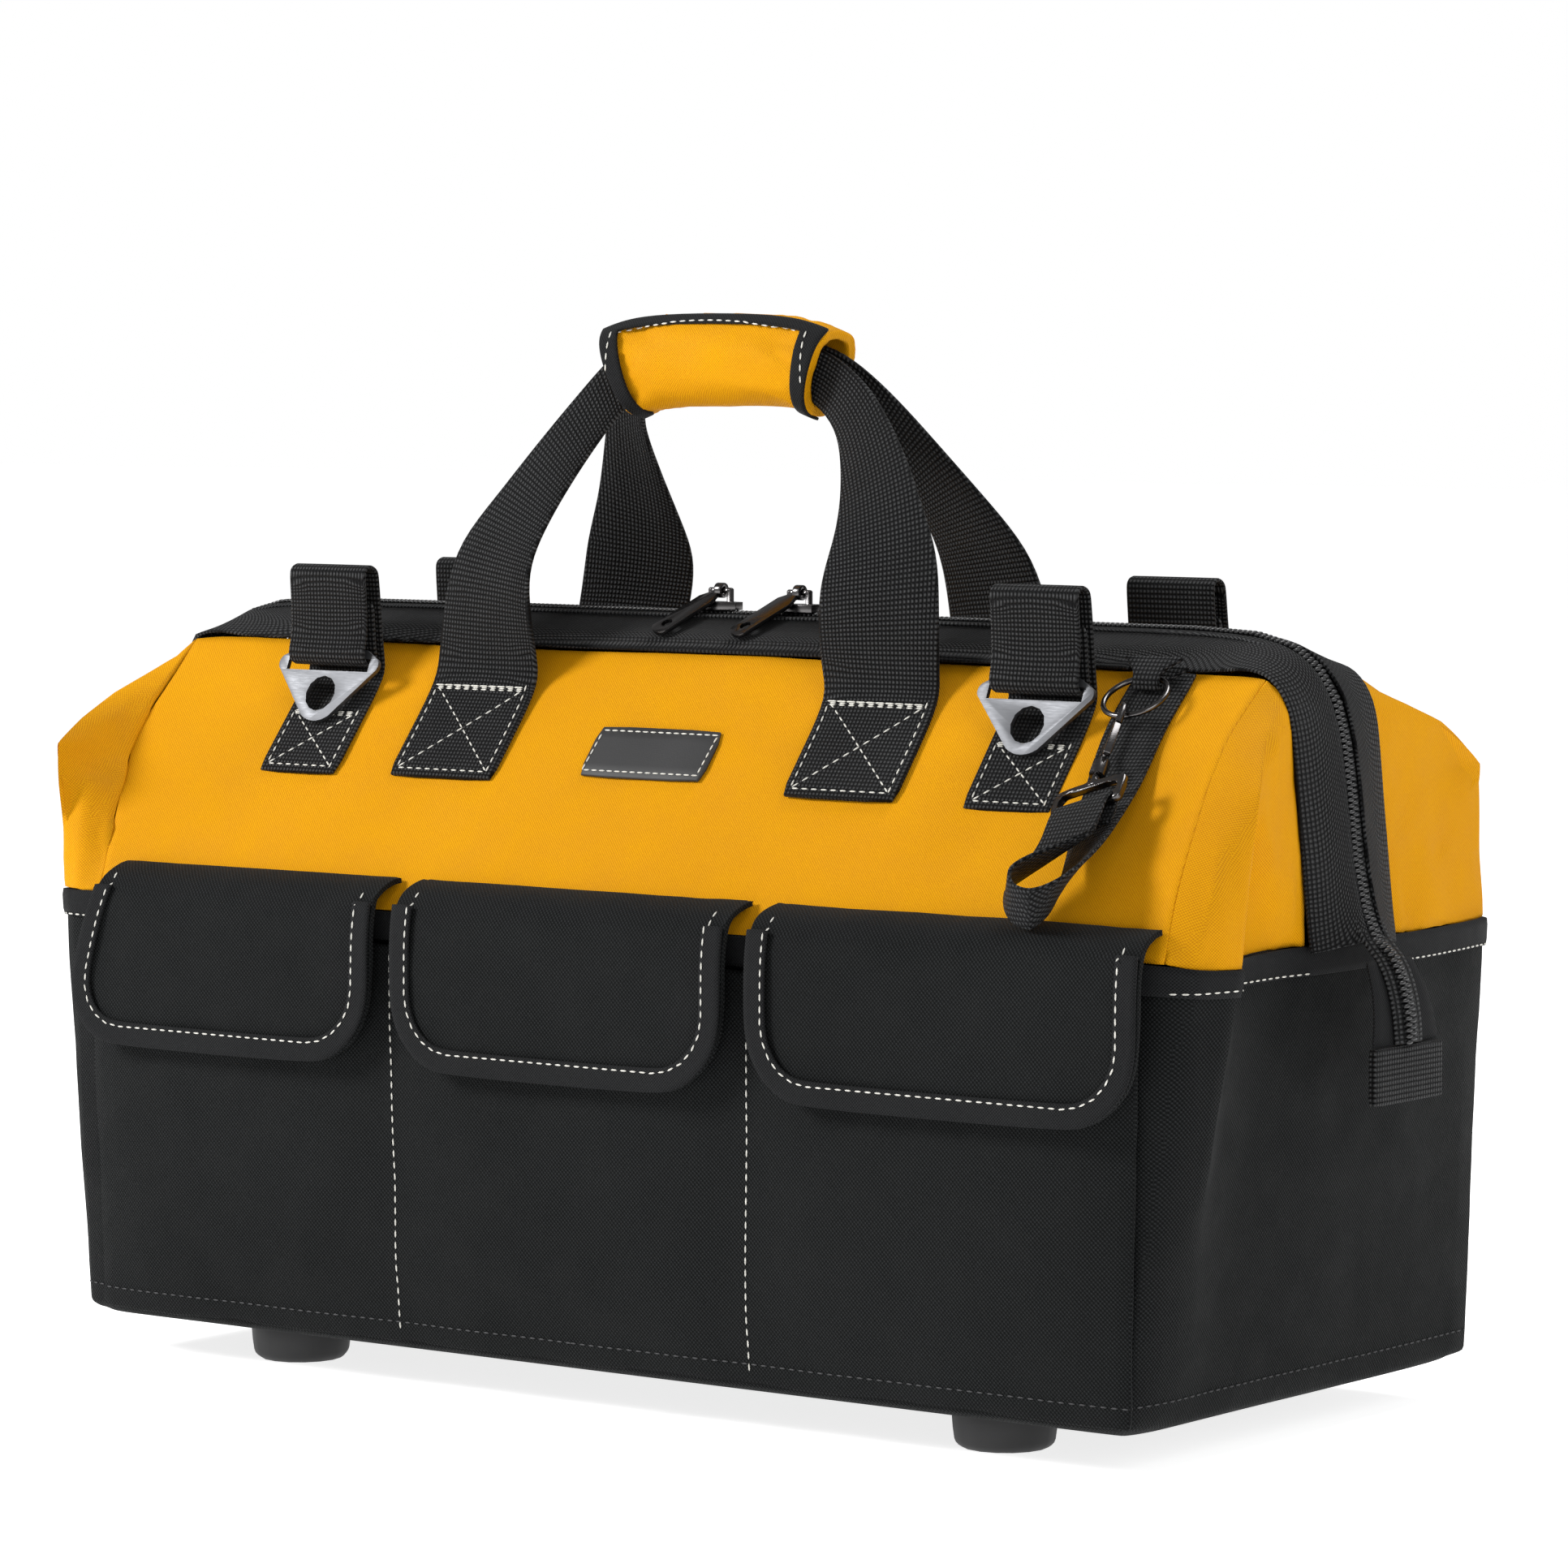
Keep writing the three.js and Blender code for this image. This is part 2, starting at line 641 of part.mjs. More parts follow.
// Mouth
function mouth() {
  for (const [name, facing] of [["front", -1], ["back", 1]]) {
    const ys = [mouthHalfWidth, mouthHalfWidth / 2, zipHalfWidth + seamGap].map((y) => facing * y);
    const across = facing < 0 ? ys : ys.reverse();
    const stations = bandPath.map((_, i) => i);
    const point = (i, y) => mouthPoint(bandPath, i, y, 0);
    const options = { top: seamGap + bandThickness, bottom: seamGap };
    add(`mouth_band_${name}`, sheet(point, stations, across, options), "webbing");
  }
  const stations = zipPath.map((_, i) => i);
  const chain = (i, y) => mouthPoint(zipPath, i, 0, -zipDepth).setY(y);
  const half = zipThickness / 2;
  add("zip_chain", sheet(chain, stations, [-zipHalfWidth, zipHalfWidth], { top: half, bottom: -half }), "webbing");

  const count = tailRows.length;
  for (const [name, end] of [["left", -1], ["right", 1]]) {
    const last = zipPath.length - 1;
    const index = (k) => (end < 0 ? count - 1 - k : last - count + 1 + k);
    const order = spread(count - 1, 0, count - 1).map(Math.round);
    const stationsOut = end < 0 ? [...order].reverse() : order;
    const lift = -zipDepth - half - seamGap;
    const width = (k) => lerp(tapeHalfWidthTop, tapeHalfWidthEnd, k / (count - 1));
    const tail = (k, side) => mouthPoint(zipPath, index(k), side * width(k), lift);
    const options = { top: 0, bottom: -tapeThickness };
    add(`zip_tail_${name}`, sheet(tail, stationsOut, [-1, 0, 1], options), "webbing");

    const foot = mouthPoint(zipPath, index(count - 1), 0, lift);
    const tab = new THREE.BoxGeometry(tabThickness, 2 * tabHalfWidth, tabHeight);
    tab.translate(foot.x, 0, foot.z - seamGap - tabHeight / 2);
    add(`zip_tab_${name}`, tab, "webbing");
  }
}

// Front pockets
// The tub's front wall at a height, as y.
const tubFrontY = (z) => -lerp(baseDepth, rimDepth, (z - footHeight) / tubHeight) / 2;

function pockets() {
  const seams = [pocketLeft, ...pocketDividers, pocketRight];
  const xs = seams.slice(0, -1).flatMap((from, k) => spread(6, from, seams[k + 1]).slice(0, 6));
  const fullness = (x) => {
    const k = seams.findLastIndex((seam) => seam <= x);
    const share = k < seams.length - 1 ? (x - seams[k]) / (seams[k + 1] - seams[k]) : 0;
    return Math.min(1, 3 * Math.sin(Math.PI * share) ** 1.2);
  };
  const top = tubHeight - pocketTopBelowRim;
  const point = (x, share) => {
    const z = footHeight + lerp(hemRadius, top, share);
    const full = pocketFullness * fullness(x) * Math.min(1, share * 5);
    const along = lerp(baseLength, rimLength, (z - footHeight) / tubHeight) / rimLength;
    return vec(x * along, tubFrontY(z) - seamGap - clothWall - full, z);
  };
  const heights = [0, 0.06, 0.2, 0.6, 1];
  add("front_pockets", sheet(point, [...xs, pocketRight], heights, { top: 0, bottom: -clothWall }), "black");
}

// The flaps fall over the pockets from a line sewn to the front panel. Shares of how far they stand
// out in front of the pocket panel, and of the height from the sewn line to the hem.
const flapRows = [
  { down: 0, out: 0 },
  { down: 0.012, out: 0.32 },
  { down: 0.06, out: 0.72 },
  { down: 0.15, out: 0.93 },
  { down: 0.35, out: 0.97 },
  { down: 0.7, out: 0.98 },
  { down: 1, out: 1.06 },
];
function flapPoint(flap, x, down) {
  const topZ = rimZ + flapAboveRim;
  const z = lerp(topZ, rimZ - flapBelowRim, down);
  const frontY = tubFrontY(rimZ) - 2 * seamGap - clothWall - pocketFullness - flapThickness - flapProud;
  const share = (flap.to - x) / (flap.to - flap.from);
  const drawn = flap.drawnIn * share * Math.max(1 - down, 0) ** 1.5;
  const sewnY = frontClothY(x + drawn, topZ) - 2 * seamGap - flapThickness;
  return vec(x + drawn, lerp(sewnY, frontY, read(flapRows, "down", down, (row) => row.out)), z);
}

const flapDrop = flapAboveRim + flapBelowRim;

// How much shorter the flap is at a distance in from its side, from its rounded corner.
function cornerLift(distance) {
  const inside = Math.min(distance, flapCornerRadius);
  return (flapCornerRadius - Math.sqrt(flapCornerRadius ** 2 - (flapCornerRadius - inside) ** 2)) / flapDrop;
}

function flaps() {
  for (const flap of flapSpans) {
    const { name, from, to } = flap;
    const turn = spread(4).map((share) => flapCornerRadius * (1 - Math.cos((share * Math.PI) / 2)));
    const xs = [...turn.map((d) => from + d), ...turn.map((d) => to - d).reverse()];
    const point = (x, share) => flapPoint(flap, x, share * (1 - cornerLift(Math.min(x - from, to - x))));
    const downs = flapRows.map((row) => row.down).reverse();
    const options = { top: 0, bottom: -flapThickness };
    add(`pocket_flap_${name}`, sheet(point, xs, downs, options), "black");

    // The binding follows the flap's outline: down one side, round the corners and up the other.
    const side = flapDrop - flapCornerRadius;
    const startAt = 0.2;
    const outline = [];
    for (const share of spread(3, startAt)) outline.push({ x: from, down: side * share, inX: 1, inDown: 0 });
    for (const share of spread(5).slice(1)) {
      const angle = (share * Math.PI) / 2;
      const inX = Math.cos(angle);
      const inDown = -Math.sin(angle);
      const x = from + flapCornerRadius * (1 - inX);
      outline.push({ x, down: side - flapCornerRadius * inDown, inX, inDown });
    }
    const other = outline.map((at) => ({ ...at, x: to + from - at.x, inX: -at.inX })).reverse();
    const stations = [...outline, ...other];
    const bound = (i, depth) => {
      const at = stations[i];
      return flapPoint(flap, at.x + at.inX * depth, (at.down + at.inDown * depth) / flapDrop);
    };
    const bindingOptions = { top: flapBindingLift + bindingThickness, bottom: flapBindingLift };
    const widths = [0, flapBindingWidth];
    const strip = sheet(bound, stations.map((_, i) => i), widths, bindingOptions);
    add(`flap_binding_${name}`, strip, "webbing");
  }
}

// Places on the leaning front or back panel: down from the band's cloth edge, off the cloth.
const panelSlope = Math.atan2(rimDepth / 2 - mouthHalfWidth, panelRise);
function panelPoint(x, down, off, facing = -1) {
  const y = mouthHalfWidth + down * Math.sin(panelSlope) + off * Math.cos(panelSlope);
  const z = edgeZ - down * Math.cos(panelSlope) + off * Math.sin(panelSlope);
  return leaned(x, facing * y, z);
}

// How far the front cloth stands out from its flat slope there, drawn out by a seam to the side.
function panelSwell(x, down, beside) {
  const at = panelPoint(x, down, 0);
  return (at.y - frontClothY(at.x + beside, at.z)) * Math.cos(panelSlope);
}

function label() {
  const point = (x, down) => panelPoint(x, down, seamGap);
  const half = labelWidth / 2;
  const options = { top: labelThickness, bottom: 0 };
  add("label_patch", sheet(point, [-half, half], [labelDown + labelHeight, labelDown], options), "webbing");
}

// Handles
// Each strap rises from its patch, closes in and turns on edge to enter the grip. Shares of half the
// handle span for each end, of the height from the patch top to the grip, of the patch's distance
// from the middle and of the webbing width. The outer edge tips up by the turn and falls back by the
// curl, in degrees.
const strapRows = {
  front: [
    { up: 0.08, left: 0.985, right: 0.995, out: 1.03, width: 1, turn: 0, curl: 4 },
    { up: 0.27, left: 0.965, right: 1.01, out: 1.05, width: 0.97, turn: 4, curl: 11 },
    { up: 0.4, left: 0.94, right: 1.005, out: 0.96, width: 0.9, turn: 10, curl: 15 },
    { up: 0.52, left: 0.845, right: 0.965, out: 0.82, width: 0.7, turn: 19, curl: 17 },
    { up: 0.64, left: 0.765, right: 0.895, out: 0.62, width: 0.58, turn: 29, curl: 17 },
    { up: 0.76, left: 0.68, right: 0.79, out: 0.4, width: 0.48, turn: 42, curl: 14 },
    { up: 0.86, left: 0.6, right: 0.68, out: 0.22, width: 0.42, turn: 56, curl: 8 },
  ],
  back: [
    { up: 0.08, left: 0.965, right: 0.985, out: 1.03, width: 1, turn: 0, curl: 4 },
    { up: 0.27, left: 0.89, right: 0.945, out: 1.05, width: 0.98, turn: 4, curl: 8 },
    { up: 0.4, left: 0.83, right: 0.925, out: 0.96, width: 0.93, turn: 8, curl: 12 },
    { up: 0.52, left: 0.775, right: 0.86, out: 0.82, width: 0.72, turn: 16, curl: 15 },
    { up: 0.64, left: 0.72, right: 0.785, out: 0.62, width: 0.58, turn: 26, curl: 16 },
    { up: 0.76, left: 0.66, right: 0.71, out: 0.4, width: 0.48, turn: 40, curl: 14 },
    { up: 0.86, left: 0.6, right: 0.63, out: 0.22, width: 0.42, turn: 56, curl: 8 },
  ],
};

const patchLift = seamGap + handleThickness / 2;

// The grip's middle line at a share along it from -1 to 1: x, z and how far it tilts down.
function gripAxis(share) {
  const bend = Math.abs(share) ** 4;
  return {
    x: (share * gripLength) / 2,
    z: gripHeight - gripEndDrop * bend,
    tilt: Math.sign(share) * radians(gripEndTilt) * Math.abs(share) ** 3,
  };
}

function strapStations(facing, rows) {
  const half = handleSpan / 2;
  const foot = panelPoint(half, patchTop, patchLift, facing);
  const side = (end, key) => {
    const stations = [];
    for (const down of spread(2, patchTop + handlePatchLength, patchTop)) {
      const centre = panelPoint(end * half, down, patchLift, facing);
      stations.push({ centre, across: vec(1, 0, 0), width: handleWebbing });
    }
    for (const row of rows) {
      const z = lerp(foot.z, gripHeight, row.up);
      const turn = radians(row.turn);
      const curl = radians(row.curl);
      const outer = vec(end * Math.cos(turn) * Math.cos(curl), -facing * Math.sin(curl), Math.sin(turn));
      stations.push({
        centre: leaned(end * half * row[key], foot.y * row.out, z),
        across: outer.normalize().multiplyScalar(end),
        width: handleWebbing * row.width,
      });
    }
    return stations;
  };
  const inGrip = [-1, -0.7, 0, 0.7, 1].map((share) => {
    const { x, z, tilt } = gripAxis(share);
    return {
      centre: leaned(x, (facing * strapsApart) / 2, z - 1.5 * Math.abs(share)),
      across: vec(Math.sin(tilt), 0, Math.cos(tilt)).multiplyScalar(share < 0 || share === 0 ? -1 : 1),
      width: strapWidthInGrip,
    };
  });
  // The across direction stays on one side of the strap all the way over.
  const left = side(-1, "left");
  const right = side(1, "right").map((station) => ({ ...station, across: station.across.negate() }));
  inGrip.forEach((station) => station.across.z > 0 && station.across.negate());
  return [...left, ...inGrip, ...right.reverse()];
}

function handles() {
  for (const [name, facing] of [["front", -1], ["back", 1]]) {
    const stations = strapStations(facing, strapRows[name]);
    add(`handle_strap_${name}`, webbing(stations, handleThickness), "webbing");
  }
}

function gripPoint(share, angle) {
  const { x, z, tilt } = gripAxis(share);
  const high = Math.sign(Math.sin(angle)) * Math.abs(Math.sin(angle)) ** 0.8 * gripHalfHeight;
  const deep = -Math.sign(Math.cos(angle)) * Math.abs(Math.cos(angle)) ** 0.8 * gripHalfDepth;
  return leaned(x + high * Math.sin(tilt), deep, z + high * Math.cos(tilt));
}

// Shares along the grip and angles round it, from the middle of its front up over the top.
const gripShares = [-1, -0.85, -0.6, 0, 0.6, 0.85, 1];
const gripSides = 16;
const gripAngle = (k) => (2 * Math.PI * k) / gripSides;

function grip() {
  const around = spread(gripSides - 1, 0, 1 - gripSides).map((k) => gripAngle(k));
  const skin = sheet((angle, share) => gripPoint(share, angle), around, gripShares, {
    top: 0,
    bottom: -gripWall,
    loop: true,
  });
  add("handle_grip", skin, "yellow");

  // The free edge of the wrap: across the top of the front face and round both ends under it.
  const angles = spread(7, -4, 3).map((k) => gripAngle(k));
  const last = gripShares.length - 2;
  const keep = (i, j) => i === 0 || i === last || j === angles.length - 2;
  const options = { top: seamGap + bindingThickness, bottom: seamGap, keep };
  add("grip_binding", sheet(gripPoint, gripShares, angles, options), "webbing");
}

// Tool loops
// The webbing rises from its patch, turns over at the top, comes down in front and closes round the
// bar of the hanger plate. Places across the loop: out from the panel's band edge, and height.
function loopProfile() {
  const lift = seamGap + loopThickness / 2;
  const back = mouthHalfWidth + loopStandOff;
  const front = back + 2 * loopLayerGap;
  const middle = (back + front) / 2;
  const turn = (front - back) / 2;
  const eye = { y: front - 0.5, z: loopEyeHeight };
  const low = panelPoint(0, patchTop + loopPatchLength, lift);
  const high = panelPoint(0, patchTop - 2, lift);
  const points = [
    { y: -low.y, z: low.z },
    { y: -lerp(low.y, high.y, 0.5), z: lerp(low.z, high.z, 0.5) },
    { y: -high.y, z: high.z },
    { y: back, z: high.z + 5 },
    { y: back, z: loopTop - turn },
  ];
  for (const share of spread(6).slice(1)) {
    const angle = Math.PI * (1 - share);
    points.push({ y: middle + turn * Math.cos(angle), z: loopTop - turn + turn * Math.sin(angle) });
  }
  points.push({ y: front, z: eye.z + 9 });
  for (const degrees of [20, -20, -60, -100, -140, -180, -215]) {
    const angle = radians(degrees);
    const y = eye.y + loopEyeRadius * Math.cos(angle);
    points.push({ y, z: eye.z + loopEyeRadius * Math.sin(angle) });
  }
  points.push({ y: middle, z: eye.z + 10 });
  points.push({ y: middle, z: eye.z + 20 });
  return { points, eye };
}

function plateShape() {
  const half = plateWidth / 2;
  const tip = 3.5;
  const top = plateBar / 2;
  const round = plateHoleRadius + plateRim;
  const low = plateLength - round;
  const slotHalf = loopWebbing / 2 + plateSlotPlay;
  const shape = new THREE.Shape();
  const lean = Math.atan2(half - round, low - tip) + 0.12;
  shape.moveTo(-half + tip + 4, top);
  shape.lineTo(half - tip - 4, top);
  shape.absarc(half - tip, -tip - 1, tip, Math.PI / 3, -lean, true);
  shape.absarc(0, -low, round, -lean, Math.PI + lean, true);
  shape.absarc(-half + tip, -tip - 1, tip, Math.PI + lean, (2 * Math.PI) / 3, true);
  shape.closePath();
  const hole = new THREE.Path();
  hole.absarc(0, -low, plateHoleRadius, 0, 2 * Math.PI);
  const slot = new THREE.Path();
  slot.moveTo(-slotHalf, -top);
  slot.lineTo(-slotHalf, -top - plateSlot);
  slot.lineTo(slotHalf, -top - plateSlot);
  slot.lineTo(slotHalf, -top);
  slot.closePath();
  shape.holes.push(hole, slot);
  return shape;
}

function toolLoops() {
  const { points, eye } = loopProfile();
  for (const { end, x } of loopPlaces) {
    for (const [face, facing] of [["front", -1], ["back", 1]]) {
      const stations = points.map(({ y, z }) => ({
        centre: leaned(x, facing * y, z),
        across: vec(-facing, 0, 0),
        width: loopWebbing,
      }));
      add(`tool_loop_${face}_${end}`, webbing(stations, loopThickness), "webbing");

      const plate = extruded(plateShape(), plateThickness, 6);
      const rest = radians(plateRestAngle);
      const right = vec(-facing, 0, 0);
      const up = vec(0, -facing * Math.sin(rest), Math.cos(rest));
      const out = right.clone().cross(up);
      laid(plate, right, up, out, leaned(x, facing * eye.y, eye.z));
      add(`loop_plate_${face}_${end}`, plate, "steel");
    }
  }
}

// Zip sliders
function sliders() {
  const chainTop = ridgeZ - zipDepth + zipThickness / 2;
  for (const { name, x } of sliderPlaces) {
    const toward = x < 0 ? 1 : -1;
    const outline = new THREE.Shape();
    outline.moveTo(-sliderLength / 2, -sliderWidth / 2);
    outline.lineTo(sliderLength * 0.1, -sliderWidth / 2);
    outline.lineTo(sliderLength / 2, -sliderWidth * 0.28);
    outline.lineTo(sliderLength / 2, sliderWidth * 0.28);
    outline.lineTo(sliderLength * 0.1, sliderWidth / 2);
    outline.lineTo(-sliderLength / 2, sliderWidth / 2);
    outline.closePath();
    const plateZ = chainTop + seamGap + sliderThickness / 2;
    const centre = leaned(x, 0, plateZ);
    const plate = extruded(outline, sliderThickness);
    if (toward < 0) plate.rotateZ(Math.PI);
    plate.translate(centre.x, 0, centre.z);
    const barZ = centre.z + sliderThickness / 2 + bridgeHeight;
    const bar = new THREE.CylinderGeometry(bridgeRadius, bridgeRadius, bridgeLength, 8).rotateZ(Math.PI / 2);
    bar.translate(centre.x, 0, barZ);
    const legs = [-1, 1].map((side) => {
      const leg = new THREE.BoxGeometry(1.8, 2 * bridgeRadius, bridgeHeight + bridgeRadius);
      return leg.translate(centre.x + (side * (bridgeLength - 1.8)) / 2, 0, barZ - bridgeHeight / 2);
    });
    add(`zip_slider_${name}`, fused(plate, bar, ...legs), "gunmetal");

    // The pull's eye turns on the bridge, and its blade lies on the front band.
    const eyeShape = new THREE.Shape();
    eyeShape.absarc(0, 0, pullEyeRadius, 0, 2 * Math.PI);
    const bore = new THREE.Path();
    bore.absarc(0, 0, bridgeRadius + pullEyePlay, 0, 2 * Math.PI);
    eyeShape.holes.push(bore);
    const eye = extruded(eyeShape, pullEyeWidth).rotateY(Math.PI / 2).translate(centre.x, 0, barZ);
    const blade = new THREE.Shape();
    const start = pullEyeRadius - 0.6;
    const wide = pullWidth / 2;
    blade.moveTo(-pullEyeWidth / 2, -start);
    blade.lineTo(-wide, -start - 5);
    blade.lineTo(-wide, -pullLength + 3);
    blade.quadraticCurveTo(-wide, -pullLength, 0, -pullLength);
    blade.quadraticCurveTo(wide, -pullLength, wide, -pullLength + 3);
    blade.lineTo(wide, -start - 5);
    blade.lineTo(pullEyeWidth / 2, -start);
    blade.closePath();
    const window = new THREE.Path();
    window.absarc(0, -pullLength + 6, 2.3, 0, 2 * Math.PI);
    blade.holes.push(window);
    const skew = radians(pullSkew);
    const slope = radians(pullSlope);
    const down = vec(-Math.sin(skew), -Math.cos(skew) * Math.cos(slope), -Math.cos(skew) * Math.sin(slope));
    const out = vec(0, -Math.sin(slope), Math.cos(slope));
    const right = down.clone().negate().cross(out);
    const flat = extruded(blade, pullThickness, 4);
    laid(flat, right, down.clone().negate(), out, vec(centre.x, 0, barZ));
    add(`zip_pull_${name}`, fused(eye, flat), "gunmetal");
  }
}

// Tape holder
// The route of the strap over the panel: its place along the bag, how far down the panel and off it,
// in shares of the drop and of the bight's stand-off, and its turn in degrees from lying flat.
const strapRoute = [
  { x: 2, down: 0.012, off: 0.048, turn: 0 },
  { x: 0, down: 0.24, off: 0.07, turn: 0 },
  { x: 4, down: 0.43, off: 0.14, turn: 6 },
  { x: 6, down: 0.59, off: 0.29, turn: 16 },
  { x: 10, down: 0.74, off: 0.5, turn: 30 },
  { x: 12, down: 0.86, off: 0.74, turn: 44 },
  { x: 10.5, down: 0.95, off: 0.9, turn: 56 },
  { x: 5, down: 1, off: 1, turn: 64 },
  { x: -3, down: 0.99, off: 1.04, turn: 64 },
  { x: -8, down: 0.935, off: 1.04, turn: 60 },
  { x: -8, down: 0.88, off: 1, turn: 50 },
];

function tapeHolder() {
  const slopeDown = vec(0, -Math.sin(panelSlope), -Math.cos(panelSlope));
  const slopeOut = vec(0, -Math.cos(panelSlope), Math.sin(panelSlope));
  const along = vec(1, 0, 0);
  const toward = (from, way, amount) => from.clone().addScaledVector(way, amount);
  const half = tapeStrapThickness / 2;

  // The short loop under the band holds the ring by its top.
  const strapTop = strapRoute[0].off * tapeBight + panelSwell(tapeX, ringHeldDown, tapeWebbing / 2);
  const under = strapTop + tapeStrapThickness + 2 * seamGap;
  const heldOff = under + half + seamGap + ringWire;
  const bight = ringWire + 2 * seamGap + half + ringSlack;
  const loopRows = [
    { down: 1.2, off: under, width: tapeWebbing },
    { down: ringHeldDown / 2, off: under, width: tapeWebbing * 0.8 },
    { down: ringHeldDown, off: under, width: ringLoopWidth },
    { down: ringHeldDown + bight * 0.75, off: lerp(under, heldOff, 0.3), width: ringLoopWidth },
    { down: ringHeldDown + bight, off: heldOff, width: ringLoopWidth },
    { down: ringHeldDown + bight * 0.75, off: lerp(heldOff, under, -1.05), width: ringLoopWidth },
    { down: ringHeldDown, off: lerp(heldOff, under, -1.3), width: ringLoopWidth },
    { down: ringHeldDown / 2, off: lerp(heldOff, under, -1.3), width: tapeWebbing * 0.8 },
    { down: 1.2, off: lerp(heldOff, under, -1.2), width: tapeWebbing },
  ];
  const loopStations = loopRows.map(({ down, off, width }) => {
    return { centre: panelPoint(tapeX, down, off), across: along.clone().negate(), width };
  });
  add("ring_loop", webbing(loopStations, tapeStrapThickness), "webbing");

  const tilt = radians(ringTilt);
  const ringDown = slopeDown.clone().multiplyScalar(Math.cos(tilt)).addScaledVector(slopeOut, Math.sin(tilt));
  const held = panelPoint(tapeX, ringHeldDown, heldOff);
  const ring = new THREE.TorusGeometry(ringRadius, ringWire, 6, 24);
  const ringUp = ringDown.clone().negate();
  laid(ring, along, ringUp, along.clone().cross(ringUp), toward(held, ringDown, ringRadius));
  add("strap_ring", ring, "gunmetal");

  // The hook's arch goes round the bottom of the ring.
  const arch = toward(held, ringDown, 2 * ringRadius);
  const hookDown = panelPoint(tapeX + hookReach, hookEyeDown, hookEyeOff).sub(arch).normalize();
  const hookUp = hookDown.clone().negate();
  const square = (way) => toward(way, hookDown, -way.dot(hookDown)).normalize();
  const turned = (degrees) => {
    const angle = radians(degrees);
    return square(along).multiplyScalar(Math.cos(angle)).addScaledVector(square(slopeOut), Math.sin(angle));
  };
  const hookRight = square(turned(hookTurn));
  const hookOut = hookRight.clone().cross(hookUp);
  const inHook = (geometry, way = hookRight) => laid(geometry, way, hookUp, way.clone().cross(hookUp), arch);

  const reach = hookWidth / 2 - hookWire;
  const wirePoints = [vec(reach, -gateTop, 0), vec(reach, -gateTop / 2, 0)];
  for (const share of spread(4)) {
    const angle = Math.PI * share;
    wirePoints.push(vec(reach * Math.cos(angle), reach * Math.sin(angle), 0));
  }
  wirePoints.push(vec(-reach, -hookLength * 0.3, 0), vec(-reach, -hookLength * 0.62, 0));
  wirePoints.push(vec(-reach * 0.75, -hookLength * 0.84, 0), vec(0, -hookLength - 1, 0));
  const barrel = new THREE.CylinderGeometry(barrelRadius, barrelRadius, barrelLength, 10);
  barrel.translate(0, -hookLength - barrelLength / 2, 0);
  add("snap_hook", inHook(fused(wire(wirePoints, hookWire, 26, 6), barrel)), "gunmetal");

  const gateLength = hookLength - gateTop - 2 * gatePlay;
  const gate = new THREE.BoxGeometry(gateWidth, gateLength, 2 * hookWire);
  gate.translate(reach, -gateTop - gatePlay - gateLength / 2, 0);
  add("snap_gate", inHook(gate), "gunmetal");

  // The rectangular eye swivels under the barrel, and the strap's end goes round its lower bar.
  const eyeRight = square(turned(eyeTurn));
  const eyeOut = eyeRight.clone().cross(hookUp);
  const stemTop = -hookLength - barrelLength - seamGap;
  const frameTop = stemTop - stemLength;
  const frameHalf = tapeWebbing / 2 + 2 * seamGap + 2 * eyeWire;
  const frameLow = frameTop - eyeHeight - 4 * eyeWire;
  const frame = new THREE.Shape();
  frame.moveTo(-frameHalf + eyeWire, frameTop);
  frame.lineTo(frameHalf - eyeWire, frameTop);
  frame.lineTo(frameHalf, frameTop - eyeWire);
  frame.lineTo(frameHalf, frameLow + eyeWire);
  frame.lineTo(frameHalf - eyeWire, frameLow);
  frame.lineTo(-frameHalf + eyeWire, frameLow);
  frame.lineTo(-frameHalf, frameLow + eyeWire);
  frame.lineTo(-frameHalf, frameTop - eyeWire);
  frame.closePath();
  const inside = new THREE.Path();
  const inner = frameHalf - 2 * eyeWire;
  inside.moveTo(-inner, frameTop - 2 * eyeWire);
  inside.lineTo(-inner, frameLow + 2 * eyeWire);
  inside.lineTo(inner, frameLow + 2 * eyeWire);
  inside.lineTo(inner, frameTop - 2 * eyeWire);
  inside.closePath();
  frame.holes.push(inside);
  const stem = new THREE.CylinderGeometry(eyeWire + 0.3, eyeWire + 0.3, stemLength + eyeWire, 10);
  stem.translate(0, stemTop - (stemLength + eyeWire) / 2, 0);
  add("hook_eye", inHook(fused(extruded(frame, 2 * eyeWire), stem), eyeRight), "gunmetal");

  const bar = toward(arch, hookUp, frameLow + eyeWire);
  const wrap = eyeWire * 1.42 + seamGap + half;
  const stations = strapRoute.map(({ x, down, off, turn }) => {
    const angle = radians(turn);
    const swell = panelSwell(tapeX + x, down * tapeDrop, (tapeWebbing / 2) * Math.cos(angle));
    return {
      centre: panelPoint(tapeX + x, down * tapeDrop, off * tapeBight + swell),
      across: along.clone().multiplyScalar(-Math.cos(angle)).addScaledVector(slopeOut, -Math.sin(angle)),
      width: tapeWebbing,
    };
  });
  const end = [
    [18, 0.9],
    [9, 1],
    [2, 1],
    [-1.4, 0.7],
    [-2.2, 0],
    [-1.4, -0.7],
    [2, -1],
    [8, -1],
  ];
  for (const [down, out] of end) {
    const scale = down < 0 ? wrap / 2 : 1;
    const centre = toward(toward(bar, hookDown, down * scale), eyeOut, out * wrap);
    stations.push({ centre, across: eyeRight.clone().negate(), width: tapeWebbing });
  }
  add("tape_strap", webbing(stations, tapeStrapThickness), "webbing");
}

cloth();
tub();
feet();
mouth();
pockets();
flaps();
label();
handles();
grip();
toolLoops();
sliders();
tapeHolder();

const bounds = new THREE.Box3().setFromObject(bag);
const middle = bounds.getCenter(new THREE.Vector3());
bag.position.set(-middle.x, -middle.y, -bounds.min.z);
bag.updateMatrixWorld(true);

export default bag;
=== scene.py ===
import json
import math

